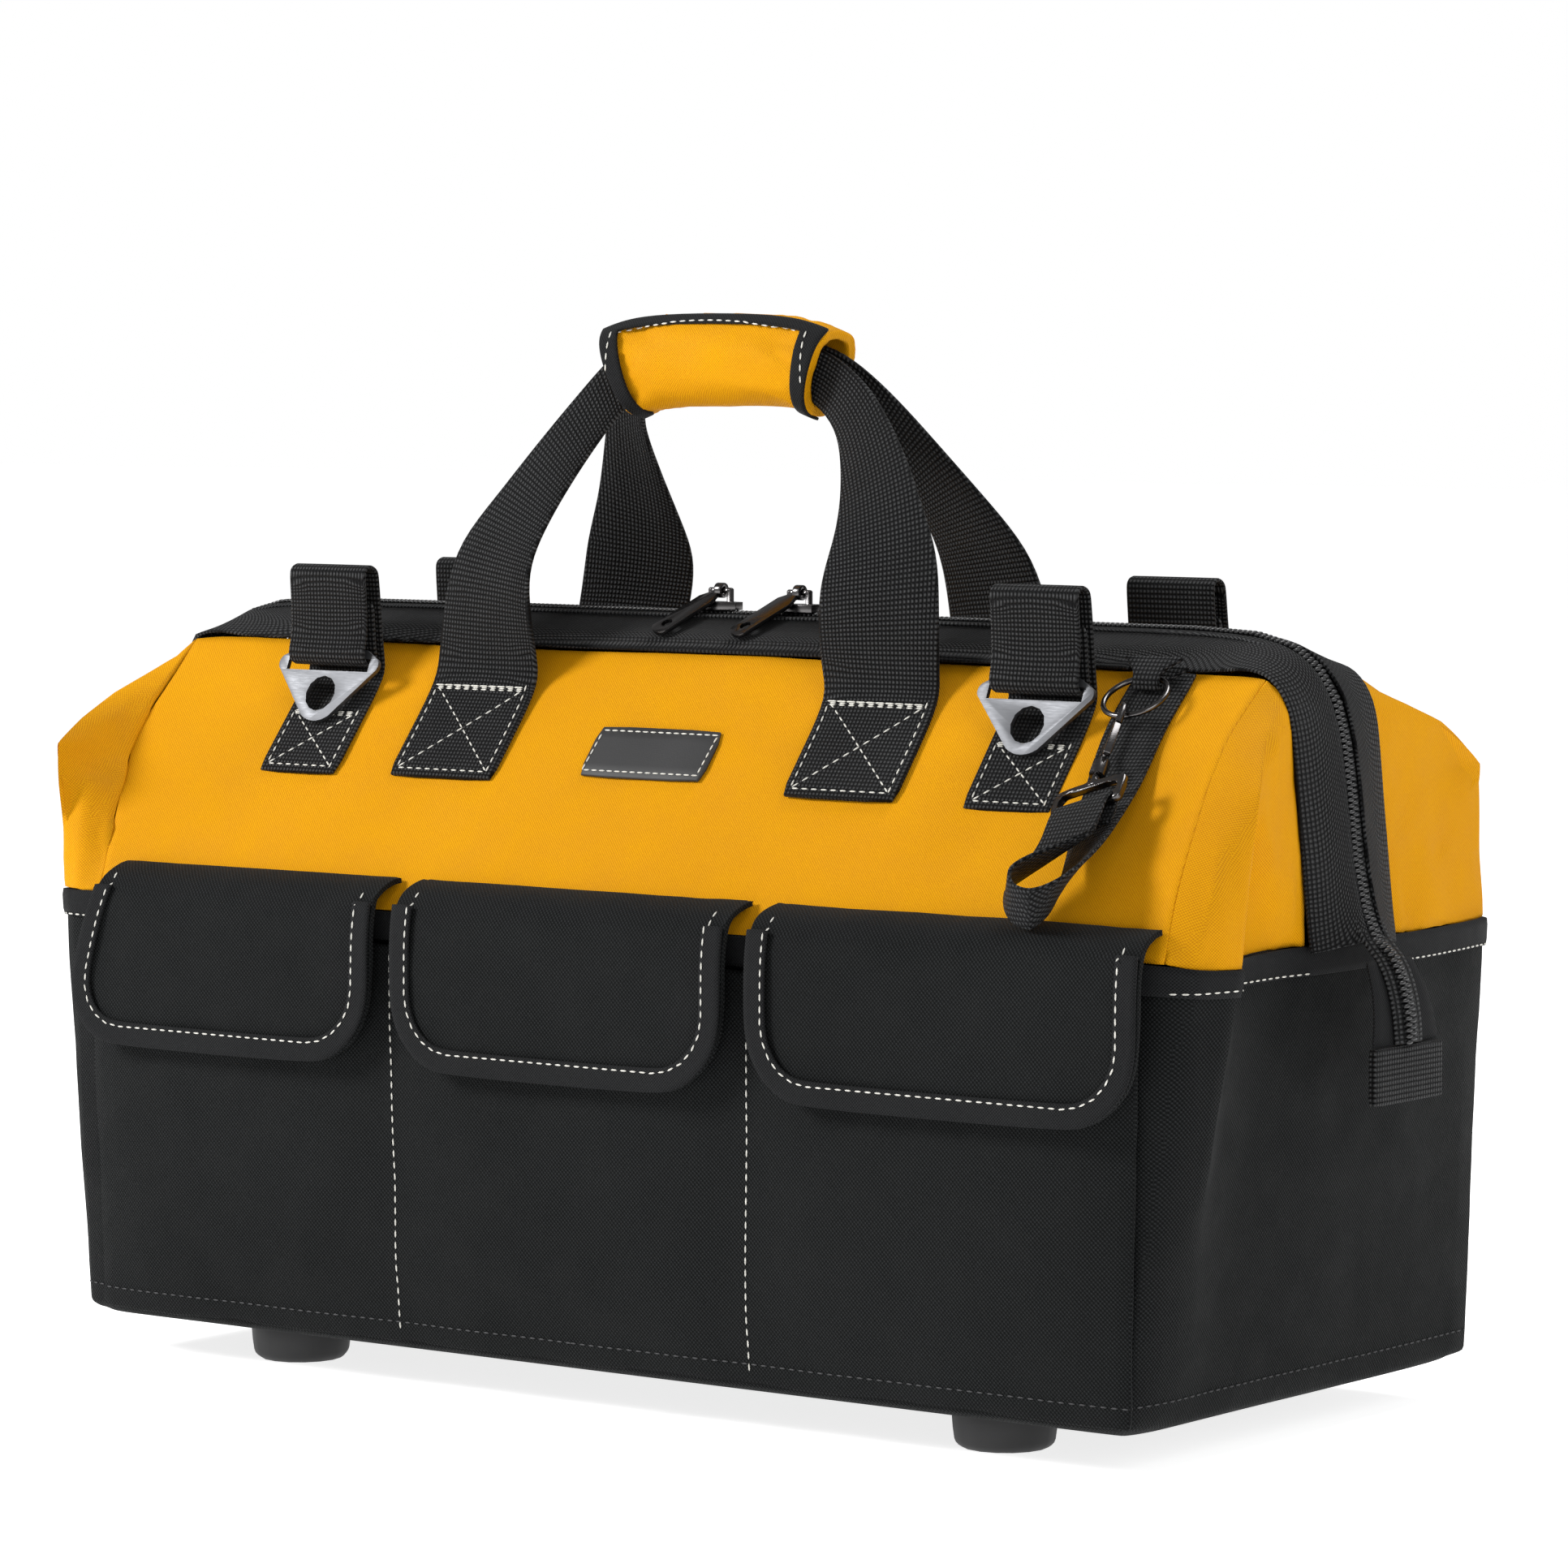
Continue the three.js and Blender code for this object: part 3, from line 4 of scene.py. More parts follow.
import bmesh
import bpy
import numpy as np
from mathutils import Matrix, Vector, noise
from mathutils.bvhtree import BVHTree
from mathutils.kdtree import KDTree

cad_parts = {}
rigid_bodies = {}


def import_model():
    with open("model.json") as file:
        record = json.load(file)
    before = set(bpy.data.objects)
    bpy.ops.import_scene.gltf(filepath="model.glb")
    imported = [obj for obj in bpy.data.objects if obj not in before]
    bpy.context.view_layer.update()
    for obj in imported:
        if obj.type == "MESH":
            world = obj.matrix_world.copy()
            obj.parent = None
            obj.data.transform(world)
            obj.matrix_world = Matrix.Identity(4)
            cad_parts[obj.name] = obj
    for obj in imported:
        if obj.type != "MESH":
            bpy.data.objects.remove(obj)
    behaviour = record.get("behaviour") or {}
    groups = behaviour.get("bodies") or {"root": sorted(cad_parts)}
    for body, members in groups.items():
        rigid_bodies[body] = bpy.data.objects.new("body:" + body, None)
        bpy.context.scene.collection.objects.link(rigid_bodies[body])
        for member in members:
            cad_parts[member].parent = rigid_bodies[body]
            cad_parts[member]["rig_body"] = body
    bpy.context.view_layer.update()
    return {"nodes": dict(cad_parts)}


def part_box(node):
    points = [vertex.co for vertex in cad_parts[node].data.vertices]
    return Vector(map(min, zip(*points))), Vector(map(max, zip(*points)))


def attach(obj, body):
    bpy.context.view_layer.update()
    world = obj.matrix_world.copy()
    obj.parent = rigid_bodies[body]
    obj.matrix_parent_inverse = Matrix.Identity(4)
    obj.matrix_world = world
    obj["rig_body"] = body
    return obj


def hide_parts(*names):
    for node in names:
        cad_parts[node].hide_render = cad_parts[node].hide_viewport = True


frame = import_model()

# Lower tub
# Four walls and a base of coated black polyester, cut flat, sewn at the four corners and hemmed along
# the bottom. The cloth is a fine diagonal weave with a dull sheen.

# The planes that the cloth pieces were cut in: facing, and the two directions of the yarn.
slope = math.radians(42.8)
cuts = [(Vector(n), Vector(u)) for n, u in (
    ((0, -1, 0), (1, 0, 0)), ((0, 1, 0), (-1, 0, 0)), ((1, 0, 0), (0, 1, 0)), ((-1, 0, 0), (0, -1, 0)),
    ((0, 0, 1), (1, 0, 0)), ((0, 0, -1), (1, 0, 0)),
    ((0, -math.cos(slope), math.sin(slope)), (1, 0, 0)),
    ((0, math.cos(slope), math.sin(slope)), (-1, 0, 0)),
)]


def yarn(mesh):
    """Lays the weave over a piece, in metres, from the plane each part of it was cut in."""
    layer = mesh.uv_layers.get("yarn") or mesh.uv_layers.new(name="yarn")
    for face in mesh.polygons:
        facing, along = max(cuts, key=lambda cut: cut[0].dot(face.normal))
        up = facing.cross(along)
        for corner in face.loop_indices:
            place = mesh.vertices[mesh.loops[corner].vertex_index].co
            layer.data[corner].uv = (place.dot(along), place.dot(up))


def merged(solid):
    """The mesh of a solid with its corners joined and its triangles paired."""
    bm = bmesh.new()
    bm.from_mesh(frame["nodes"][solid].data)
    bmesh.ops.remove_doubles(bm, verts=bm.verts, dist=1e-5)
    bmesh.ops.join_triangles(
        bm, faces=bm.faces, angle_face_threshold=0.7, angle_shape_threshold=1.4
    )
    bmesh.ops.recalc_face_normals(bm, faces=bm.faces)
    return bm


def piece(name, bm, look):
    """A new object from a mesh being built."""
    mesh = bpy.data.meshes.new(name)
    bm.to_mesh(mesh)
    bm.free()
    obj = bpy.data.objects.new(name, mesh)
    bpy.context.scene.collection.objects.link(obj)
    mesh.materials.append(look)
    return obj


def settled(obj):
    """The object with its modifiers worked into its mesh."""
    shaped = bpy.data.meshes.new_from_object(obj.evaluated_get(bpy.context.evaluated_depsgraph_get()))
    old = obj.data
    obj.modifiers.clear()
    obj.data = shaped
    bpy.data.meshes.remove(old)
    return obj


def rounded(bm, name, look, levels, crease, angle=38):
    """Smooths the facets away and leaves the edges sharper than angle creased."""
    sharp = bm.edges.layers.float.get("crease_edge") or bm.edges.layers.float.new("crease_edge")
    for edge in bm.edges:
        turn = math.degrees(edge.calc_face_angle(math.pi))
        if turn > angle:
            edge[sharp] = crease if turn < 62 else max(crease, 0.97)
    obj = piece(name, bm, look)
    smoothing = obj.modifiers.new("smooth", "SUBSURF")
    smoothing.levels = smoothing.render_levels = levels
    settled(obj)
    obj.data.polygons.foreach_set("use_smooth", [True] * len(obj.data.polygons))
    obj.data.set_sharp_from_angle(angle=math.radians(50))
    return obj


# Creases fade out this near to a sewn edge, and push away from a point in the middle of the bag.
sewn_ease = 0.016
bag_middle = Vector((0, 0, 0.13))
end_share = Vector((0.35, 1, 1))


def crumpled(obj, depth, size, seed, stretch=(1, 1, 1)):
    """Soft creases: both skins of a sheet move together, and its sewn edges stay where they are."""
    mesh = obj.data
    edges = [e for e in mesh.edges if e.use_edge_sharp]
    held = KDTree(max(1, len(edges)))
    for k, edge in enumerate(edges):
        held.insert(mesh.vertices[edge.vertices[0]].co, k)
    held.balance()
    for vertex, out in [(v, v.normal.copy()) for v in mesh.vertices]:
        free = min(1.0, held.find(vertex.co)[2] / sewn_ease) if edges else 1.0
        if out.dot((vertex.co - bag_middle) * end_share) < 0:
            out.negate()
        p = Vector([vertex.co[k] / size / stretch[k] + seed * 7.3 for k in range(3)])
        vertex.co += out * (depth * free * free * noise.fractal(p, 0.8, 2.1, 3))
    return obj


def stands_for(obj, solid):
    """The finished piece takes the place of its solid and moves with the same body."""
    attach(obj, frame["nodes"][solid]["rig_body"])
    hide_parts(solid)
    return obj


def srgb(red, green, blue):
    """A colour as read off a print, in the renderer's linear values."""
    parts = [c / 255 for c in (red, green, blue)]
    return [c / 12.92 if c <= 0.04045 else ((c + 0.055) / 1.055) ** 2.4 for c in parts] + [1]


def node(tree, kind, inputs=None, **settings):
    """One shader node, with its settings and its inputs: numbers, or the outputs of other nodes."""
    made = tree.nodes.new(kind)
    for key, value in settings.items():
        setattr(made, key, value)
    for key, value in (inputs or {}).items():
        if isinstance(value, bpy.types.NodeSocket):
            tree.links.new(value, made.inputs[key])
        else:
            made.inputs[key].default_value = value
    return made


def maths(tree, operation, *values):
    """A sum on one or two values."""
    return node(tree, "ShaderNodeMath", dict(enumerate(values)), operation=operation).outputs[0]


def cloth(name, dark, light, pitch, kind, sheen, relief, rough=0.78):
    """A woven cloth. kind is twill, plain or ribbed; pitch is the spacing of its yarns in metres,
    relief their height. dark is the painted shade between the yarns and light the painted highlight on their
    tops."""
    look = bpy.data.materials.new(name)
    look.use_nodes = True
    tree = look.node_tree
    shader = tree.nodes["Principled BSDF"]
    at = node(tree, "ShaderNodeUVMap", uv_map="yarn").outputs[0]
    parts = node(tree, "ShaderNodeSeparateXYZ", {0: at})
    u = maths(tree, "MULTIPLY", parts.outputs[0], 2 * math.pi / pitch)
    v = maths(tree, "MULTIPLY", parts.outputs[1], 2 * math.pi / pitch)
    if kind == "twill":
        ribs = maths(tree, "SINE", maths(tree, "ADD", u, v))
        ticks = maths(tree, "SINE", maths(tree, "SUBTRACT", u, v))
        weave = maths(tree, "ADD", maths(tree, "MULTIPLY", ribs, 0.6), maths(tree, "MULTIPLY", ticks, 0.4))
    elif kind == "plain":
        weave = maths(tree, "MULTIPLY", maths(tree, "SINE", u), maths(tree, "SINE", v))
    else:
        ribs = maths(tree, "ABSOLUTE", maths(tree, "SINE", maths(tree, "MULTIPLY", v, 0.5)))
        across = maths(tree, "ADD", maths(tree, "MULTIPLY", u, 0.55), 0.4)
        ends = maths(tree, "ABSOLUTE", maths(tree, "SINE", across))
        pebbles = maths(tree, "MULTIPLY", ribs, ends)
        weave = maths(tree, "SUBTRACT", maths(tree, "MULTIPLY", pebbles, 2.4), 1.1)
    place = node(tree, "ShaderNodeTexCoord").outputs["Object"]
    fuzz = node(tree, "ShaderNodeTexNoise", {"Vector": place, "Scale": 1400.0, "Detail": 2.0}).outputs[0]
    cloud = node(tree, "ShaderNodeTexNoise", {"Vector": place, "Scale": 9.0, "Detail": 4.0}).outputs[0]
    wear = node(tree, "ShaderNodeTexNoise", {"Vector": place, "Scale": 60.0, "Detail": 3.0}).outputs[0]
    # The weave's share of the colour is painted light: shade between the yarns, highlight on their tops. The
    # three noises add random tone.
    shade = maths(tree, "ADD", maths(tree, "MULTIPLY", weave, 0.34), maths(tree, "MULTIPLY", fuzz, 0.30))
    shade = maths(tree, "ADD", shade, maths(tree, "MULTIPLY", cloud, 0.22))
    shade = maths(tree, "ADD", shade, maths(tree, "MULTIPLY", wear, 0.14))
    # Squaring narrows the painted highlights on the yarn tops.
    if kind != "plain":
        shade = maths(tree, "POWER", maths(tree, "MAXIMUM", shade, 0.0), 2.0)
    mix = node(tree, "ShaderNodeMix", {0: shade, 6: dark, 7: light}, data_type="RGBA")
    tree.links.new(mix.outputs[2], shader.inputs["Base Color"])
    dull = node(tree, "ShaderNodeMapRange", {0: wear, 1: 0.3, 2: 0.7, 3: rough - 0.08, 4: rough + 0.08})
    tree.links.new(dull.outputs[0], shader.inputs["Roughness"])
    high = maths(tree, "ADD", maths(tree, "MULTIPLY", weave, 0.5), maths(tree, "MULTIPLY", fuzz, 0.5))
    bump = node(tree, "ShaderNodeBump", {"Height": high, "Strength": 0.7, "Distance": relief})
    tree.links.new(bump.outputs[0], shader.inputs["Normal"])
    shader.inputs["Sheen Weight"].default_value = sheen
    shader.inputs["Sheen Roughness"].default_value = 0.4
    shader.inputs["Specular IOR Level"].default_value = 0.1
    return look


# Its darker colour is the painted shade between the yarns, its lighter one the painted highlight on their
# tops.
black = cloth("black polyester", srgb(3, 4, 4), srgb(54, 56, 57), pitch=0.0016, kind="twill",
              sheen=0.02, relief=0.0004)
tub = rounded(merged("tub_wall"), "tub-wall", black, levels=2, crease=0.85)
crumpled(tub, depth=0.0011, size=0.05, seed=1, stretch=(1, 1, 1.6))
yarn(tub.data)
stands_for(tub, "tub_wall")
base = rounded(merged("base_panel"), "base-panel", black, levels=1, crease=0.9)
yarn(base.data)
stands_for(base, "base_panel")

# Rim binding
# A black woven tape folded over the top of the tub walls, which hides their cut edge and the golden
# cloth's. It is sewn through with one line of white thread.

# Its darker colour is the painted shade between the yarns, its lighter one the painted highlight on their
# tops.
tape_look = cloth("black tape", srgb(3, 3, 4), srgb(44, 45, 46), pitch=0.0012, kind="plain",
                  sheen=0.03, relief=0.00018)
binding = rounded(merged("rim_binding"), "rim-binding", tape_look, levels=2, crease=0.8)
yarn(binding.data)
stands_for(binding, "rim_binding")

thread = bpy.data.materials.new("white thread")
thread.use_nodes = True
thread_shader = thread.node_tree.nodes["Principled BSDF"]
twist = node(thread.node_tree, "ShaderNodeTexNoise", {
    "Vector": node(thread.node_tree, "ShaderNodeTexCoord").outputs["Object"], "Scale": 900.0,
}).outputs[0]
pale = node(thread.node_tree, "ShaderNodeMix", {0: twist, 6: srgb(160, 158, 150), 7: srgb(232, 230, 222)},
            data_type="RGBA").outputs[2]
thread.node_tree.links.new(pale, thread_shader.inputs["Base Color"])
thread_shader.inputs["Roughness"].default_value = 0.6

stitch_length = 0.0030
stitch_gap = 0.0013
stitch_radius = 0.00036


def repeated(name, shape, places, look):
    """One object made of the same small shape at each of the places."""
    small = bpy.data.meshes.new(name)
    shape.to_mesh(small)
    shape.free()
    points = np.array([(*v.co, 1.0) for v in small.vertices])
    corners = np.array([loop.vertex_index for loop in small.loops])
    sides = np.array([face.loop_total for face in small.polygons])
    spots = np.einsum("nij,vj->nvi", np.array(places), points)[:, :, :3]
    count = len(places)
    mesh = bpy.data.meshes.new(name)
    mesh.vertices.add(count * len(points))
    mesh.vertices.foreach_set("co", spots.ravel())
    mesh.loops.add(count * len(corners))
    index = corners[None, :] + len(points) * np.arange(count)[:, None]
    mesh.loops.foreach_set("vertex_index", index.ravel())
    mesh.polygons.add(count * len(sides))
    ends = np.cumsum(np.tile(sides, count))
    mesh.polygons.foreach_set("loop_start", np.concatenate(([0], ends[:-1])))
    mesh.update(calc_edges=True)
    mesh.polygons.foreach_set("use_smooth", [True] * len(mesh.polygons))
    mesh.materials.append(look)
    bpy.data.meshes.remove(small)
    obj = bpy.data.objects.new(name, mesh)
    bpy.context.scene.collection.objects.link(obj)
    return obj


def stitches(name, lines, body, pitch=stitch_length + stitch_gap, look=thread):
    """Rows of short stitches along lines of (place, facing) pairs, each lying on the cloth."""
    places = []
    for line in lines:
        gone = 0.0
        due = pitch * 0.5
        for (a, out), (b, _) in zip(line, line[1:]):
            run = (b - a).length
            while run > 1e-9 and due <= gone + run:
                along = (b - a).normalized()
                side = along.cross(out).normalized()
                turn = Matrix((side, along, side.cross(along))).transposed().to_4x4()
                size = Matrix.Diagonal((stitch_radius, stitch_length / 2, stitch_radius * 0.8, 1))
                places.append(Matrix.Translation(a.lerp(b, (due - gone) / run)) @ turn @ size)
                due += pitch
            gone += run
    bead = bmesh.new()
    bmesh.ops.create_uvsphere(bead, u_segments=6, v_segments=5, radius=1)
    obj = repeated(name, bead, places, look)
    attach(obj, body)
    return obj


def on_cloth(objects, starts, towards, lift=0.0002):
    """Where lines of sight from the starting places meet the cloth, as (place, facing) pairs."""
    trees = []
    for obj in objects:
        bm = bmesh.new()
        bm.from_mesh(obj.data)
        trees.append(BVHTree.FromBMesh(bm))
        bm.free()
    found = []
    for start, way in zip(starts, towards):
        hits = [h for h in (t.ray_cast(start, way) for t in trees) if h[0] is not None]
        if hits:
            place, facing, _, _ = min(hits, key=lambda h: h[3])
            if facing.dot(way) > 0:
                facing = -facing
            found.append((place + facing * lift, facing))
    return found


black_thread = thread.copy()
black_thread.name = "black thread"
for mixer in [n for n in black_thread.node_tree.nodes if n.bl_idname == "ShaderNodeMix"]:
    mixer.inputs[6].default_value = srgb(12, 12, 13)
    mixer.inputs[7].default_value = srgb(58, 58, 60)

# The line runs right round the rim, but stays out of sight behind the flaps and the zip's tails.
seam_rise = 0.0028
outside = 0.5
rim_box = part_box("rim_binding")
covered_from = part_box("pocket_flap_left")[0].x - 0.001
covered_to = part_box("pocket_flap_right")[1].x + 0.001
tail_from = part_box("zip_tail_right")[0].y - 0.001
tail_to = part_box("zip_tail_right")[1].y + 0.001
around = [math.radians(a * 0.5) for a in range(721)]
centre = Vector((0, (rim_box[0].y + rim_box[1].y) / 2, rim_box[0].z + seam_rise))
ways = [Vector((-math.sin(a), math.cos(a), 0)) for a in around]
run, rim_lines = [], []
for place, facing in on_cloth([binding], [centre - way * outside for way in ways], ways):
    under_flap = place.y < centre.y - 0.1 and covered_from < place.x < covered_to
    under_tail = abs(place.x) > 0.24 and tail_from < place.y < tail_to
    if under_flap or under_tail:
        if len(run) > 1:
            rim_lines.append(run)
        run = []
    else:
        run.append((place, facing))
rim_lines.append(run)
stitches("rim-stitches", [r for r in rim_lines if len(r) > 1], "bag")

# Front pockets
# One black panel sewn to the tub front along its bottom, its ends and two lines between the three
# pockets. The rows of white thread between the pockets start under the flaps.

divider_at = 0.083
hem_rise = 0.011
pockets = rounded(merged("front_pockets"), "front-pockets", black, levels=2, crease=0.85)
crumpled(pockets, depth=0.0010, size=0.045, seed=4)
yarn(pockets.data)
stands_for(pockets, "front_pockets")
low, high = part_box("front_pockets")
seams = []
inwards = Vector((0, 1, 0))
for x in (-divider_at, divider_at):
    starts = []
    for z in np.linspace(low.z + 0.004, high.z - 0.004, 60):
        spread = 0.98 + 0.02 * (z - low.z) / (high.z - low.z)
        starts.append(Vector((x * spread, low.y - 0.05, z)))
    seams.append(on_cloth([pockets], starts, [inwards] * len(starts)))
stitches("pocket-stitches", seams, "bag")
level = Vector((0, centre.y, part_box("tub_wall")[0].z + hem_rise))
hem_line = on_cloth([tub, pockets], [level - way * outside for way in ways], ways)
stitches("hem-stitches", [hem_line], "bag", look=black_thread)

# Pocket flaps
# Three black flaps sewn into the seam above the rim, each edged with folded tape on three sides. White
# thread runs along the tape's inner edge.


def run_of(bm, is_start):
    """Follows a strip from its first end: the middle, width, side and facing of each row of it."""
    rows = []
    seen = set()
    row = [v for v in bm.verts if is_start(v.co)]
    while row:
        seen.update(row)
        rows.append(row)
        row = list({e.other_vert(v) for v in row for e in v.link_edges} - seen)
    made = []
    for row in rows:
        places = np.array([v.co for v in row])
        middle = places.mean(0)
        values, axes = np.linalg.eigh(np.cov((places - middle).T) + np.eye(3) * 1e-14)
        across = Vector(axes[:, 2])
        if made and across.dot(made[-1][1]) < 0:
            across.negate()
        spread = (places - middle) @ np.array(across)
        made.append([Vector(middle), across, float(spread.max() - spread.min()) / 2, None, row])
    for k, entry in enumerate(made):
        ahead = made[min(k + 1, len(made) - 1)][0] - made[max(k - 1, 0)][0]
        entry[3] = entry[1].cross(ahead).normalized()
    return made


def strip_yarn(bm, rows):
    """Lays the ribs of a webbing straight across it, all along its run."""
    layer = bm.loops.layers.uv.get("yarn") or bm.loops.layers.uv.new("yarn")
    place = {}
    gone = 0.0
    for k, (middle, across, half, out, row) in enumerate(rows):
        if k:
            gone += (middle - rows[k - 1][0]).length
        for vertex in row:
            place[vertex] = ((vertex.co - middle).dot(across), gone)
    for face in bm.faces:
        for loop in face.loops:
            loop[layer].uv = place.get(loop.vert, (0, 0))


def along_strip(rows, points, lift):
    """Places on a strip's face from (across, along) pairs, with the way the face looks."""
    gone = [0.0]
    for a, b in zip(rows, rows[1:]):
        gone.append(gone[-1] + (b[0] - a[0]).length)
    found = []
    for side, reach in points:
        k = max(0, min(len(rows) - 2, int(np.searchsorted(gone, reach)) - 1))
        share = (reach - gone[k]) / max(gone[k + 1] - gone[k], 1e-9)
        a, b = rows[k], rows[k + 1]
        out = a[3].lerp(b[3], share).normalized()
        across = a[1].lerp(b[1], share)
        found.append((a[0].lerp(b[0], share) + across * side + out * lift, out))
    return found


# The tape shows this much of its width, and the thread runs this far in from its inner edge. The flap
# is folded this far below its top.
tape_shows = 0.0045
thread_in = 0.0014
fold_down = 0.0035
for k, side in enumerate(("left", "middle", "right")):
    flap = rounded(merged(f"pocket_flap_{side}"), f"pocket-flap-{side}", black, levels=2, crease=0.8)
    crumpled(flap, depth=0.0006, size=0.035, seed=11 + k)
    yarn(flap.data)
    stands_for(flap, f"pocket_flap_{side}")
    edging = merged(f"flap_binding_{side}")
    edging = rounded(edging, f"flap-binding-{side}", tape_look, levels=2, crease=0.7)
    yarn(edging.data)
    stands_for(edging, f"flap_binding_{side}")
    left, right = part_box(f"flap_binding_{side}")
    bm = merged(f"flap_binding_{side}")
    middle = (left.x + right.x) / 2
    strip = run_of(bm, lambda co: co.z > right.z - 0.0012 and co.x < middle)
    inner = []
    for centre_at, across, half, out, row in strip:
        inside = across if across.dot(Vector((middle, 0, right.z)) - centre_at) > 0 else -across
        inside.y = 0
        inner.append(centre_at + inside.normalized() * (min(half, tape_shows) - thread_in))
    bm.free()
    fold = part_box(f"pocket_flap_{side}")[1].z - fold_down
    climb = [k / 12 for k in range(12)]
    inner = ([Vector((inner[0].x, 0, fold + (inner[0].z - fold) * k)) for k in climb] + inner
             + [Vector((inner[-1].x, 0, inner[-1].z + (fold - inner[-1].z) * k)) for k in climb[1:]])
    close = [a.lerp(b, k / 8) for a, b in zip(inner, inner[1:]) for k in range(8)]
    starts = [Vector((p.x, left.y - 0.03, p.z)) for p in close]
    edge_line = on_cloth([edging, flap], starts, [inwards] * len(starts))
    stitches(f"flap-stitches-{side}", [edge_line], "bag")

# Upper walls
# Golden cloth sewn between the rim binding and the mouth: one flat panel at the front and one at the
# back, and two gussets at each end whose spare cloth folds into the corners.

# Its darker colour is the painted shade between the yarns, its lighter one the painted highlight on their
# tops.
yellow = cloth("golden cloth", srgb(180, 112, 0), srgb(234, 176, 4), pitch=0.0011, kind="plain",
               sheen=0.0, relief=0.00016, rough=0.75)
for k, name in enumerate(("front_panel", "back_panel")):
    panel = rounded(merged(name), name.replace("_", "-"), yellow, levels=2, crease=0.85)
    crumpled(panel, depth=0.0009, size=0.07, seed=21 + k)
    yarn(panel.data)
    stands_for(panel, name)
for k, corner in enumerate(("front_left", "front_right", "back_left", "back_right")):
    name = f"gusset_{corner}"
    gusset = rounded(merged(name), name.replace("_", "-"), yellow, levels=2, crease=0.62, angle=17)
    crumpled(gusset, depth=0.0024, size=0.024, seed=31 + k, stretch=(1.0, 1.0, 2.6))
    yarn(gusset.data)
    stands_for(gusset, name)

# Mouth and zip
# Two wide webbings edge the mouth and run down both ends, with a coil zip sewn between them. Its tape
# runs on past the mouth at each end and stops in a folded webbing tab.

# Its darker colour is the painted shade between the ribs, its lighter one the painted highlight on their
# tops.
webbing = cloth("ribbed webbing", srgb(2, 2, 3), srgb(84, 85, 86), pitch=0.0018, kind="ribbed",
                sheen=0.03, relief=0.0009, rough=0.6)
# The bands' outer edges, this far from the zip and more, lap over the golden cloth.
band_outer = 0.022
band_lap = 0.001
low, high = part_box("zip_chain")
zip_y = (low.y + high.y) / 2
for name in ("mouth_band_front", "mouth_band_back"):
    bm = merged(name)
    lowest = min(v.co.z for v in bm.verts)
    rows = run_of(bm, lambda co: co.x < 0 and co.z < lowest + 0.0025)
    strip_yarn(bm, rows)
    for vertex in bm.verts:
        from_zip = vertex.co.y - zip_y
        if abs(from_zip) > band_outer:
            vertex.co.y += math.copysign(band_lap, from_zip)
    band = rounded(bm, name.replace("_", "-"), webbing, levels=2, crease=0.8)
    stands_for(band, name)

coil = bpy.data.materials.new("zip coil")
coil.use_nodes = True
coil_shader = coil.node_tree.nodes["Principled BSDF"]
coil_shader.inputs["Base Color"].default_value = srgb(30, 30, 31)
coil_spot = node(coil.node_tree, "ShaderNodeTexNoise", {
    "Vector": node(coil.node_tree, "ShaderNodeTexCoord").outputs["Object"], "Scale": 500.0,
}).outputs[0]
coil_rough = node(coil.node_tree, "ShaderNodeMapRange", {0: coil_spot, 3: 0.3, 4: 0.5}).outputs[0]
coil.node_tree.links.new(coil_rough, coil_shader.inputs["Roughness"])

tooth_pitch = 0.0021
tooth_reach = 0.0036
tooth_overlap = 0.0004
tape_half = 0.009
tape_sunk = 0.0013
room_middle = 0.12

bm = merged("zip_chain")
lowest = min(v.co.z for v in bm.verts)
chain_rows = run_of(bm, lambda co: co.x < 0 and co.z < lowest + 0.0012)
strip_yarn(bm, chain_rows)
for middle, across, half, out, row in chain_rows:
    up = out if out.dot(middle - Vector((0, middle.y, room_middle))) > 0 else -out
    for vertex in row:
        if (vertex.co - middle).dot(up) > 0:
            vertex.co -= up * tape_sunk
        vertex.co.y = middle.y + math.copysign(tape_half, vertex.co.y - middle.y)
stands_for(rounded(bm, "zip-tape", webbing, levels=1, crease=0.9), "zip_chain")

gone = 0.0
due = tooth_pitch
places = []
for a, b in zip(chain_rows, chain_rows[1:]):
    run = (b[0] - a[0]).length
    while run > 1e-9 and due <= gone + run:
        middle = a[0].lerp(b[0], (due - gone) / run)
        along = (b[0] - a[0]).normalized()
        side = Vector((0, 1 if len(places) % 2 else -1, 0))
        up = along.cross(side).normalized()
        if up.dot(middle - Vector((0, middle.y, room_middle))) < 0:
            up.negate()
        turn = Matrix((side, along, side.cross(along))).transposed().to_4x4()
        size = Matrix.Diagonal((tooth_reach / 2 + tooth_overlap, tooth_pitch * 0.40, 0.0009, 1))
        spot = middle + side * (tooth_reach / 2 - tooth_overlap) + up * 0.0006
        places.append(Matrix.Translation(spot) @ turn @ size)
        due += tooth_pitch / 2
    gone += run
tooth = bmesh.new()
bmesh.ops.create_uvsphere(tooth, u_segments=8, v_segments=5, radius=1)
teeth = repeated("zip-teeth", tooth, places, coil)
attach(teeth, "bag")

for side in ("left", "right"):
    name = f"zip_tail_{side}"
    bm = merged(name)
    top = max(v.co.z for v in bm.verts)
    rows = run_of(bm, lambda co: co.z > top - 0.0012)
    strip_yarn(bm, rows)
    tail = rounded(bm, name.replace("_", "-"), tape_look, levels=2, crease=0.85)
    stands_for(tail, name)
    name = f"zip_tab_{side}"
    bm = merged(name)
    bmesh.ops.subdivide_edges(bm, edges=bm.edges, cuts=1, use_grid_fill=True)
    tab = rounded(bm, name.replace("_", "-"), webbing, levels=2, crease=0.75)
    yarn(tab.data)
    stands_for(tab, name)


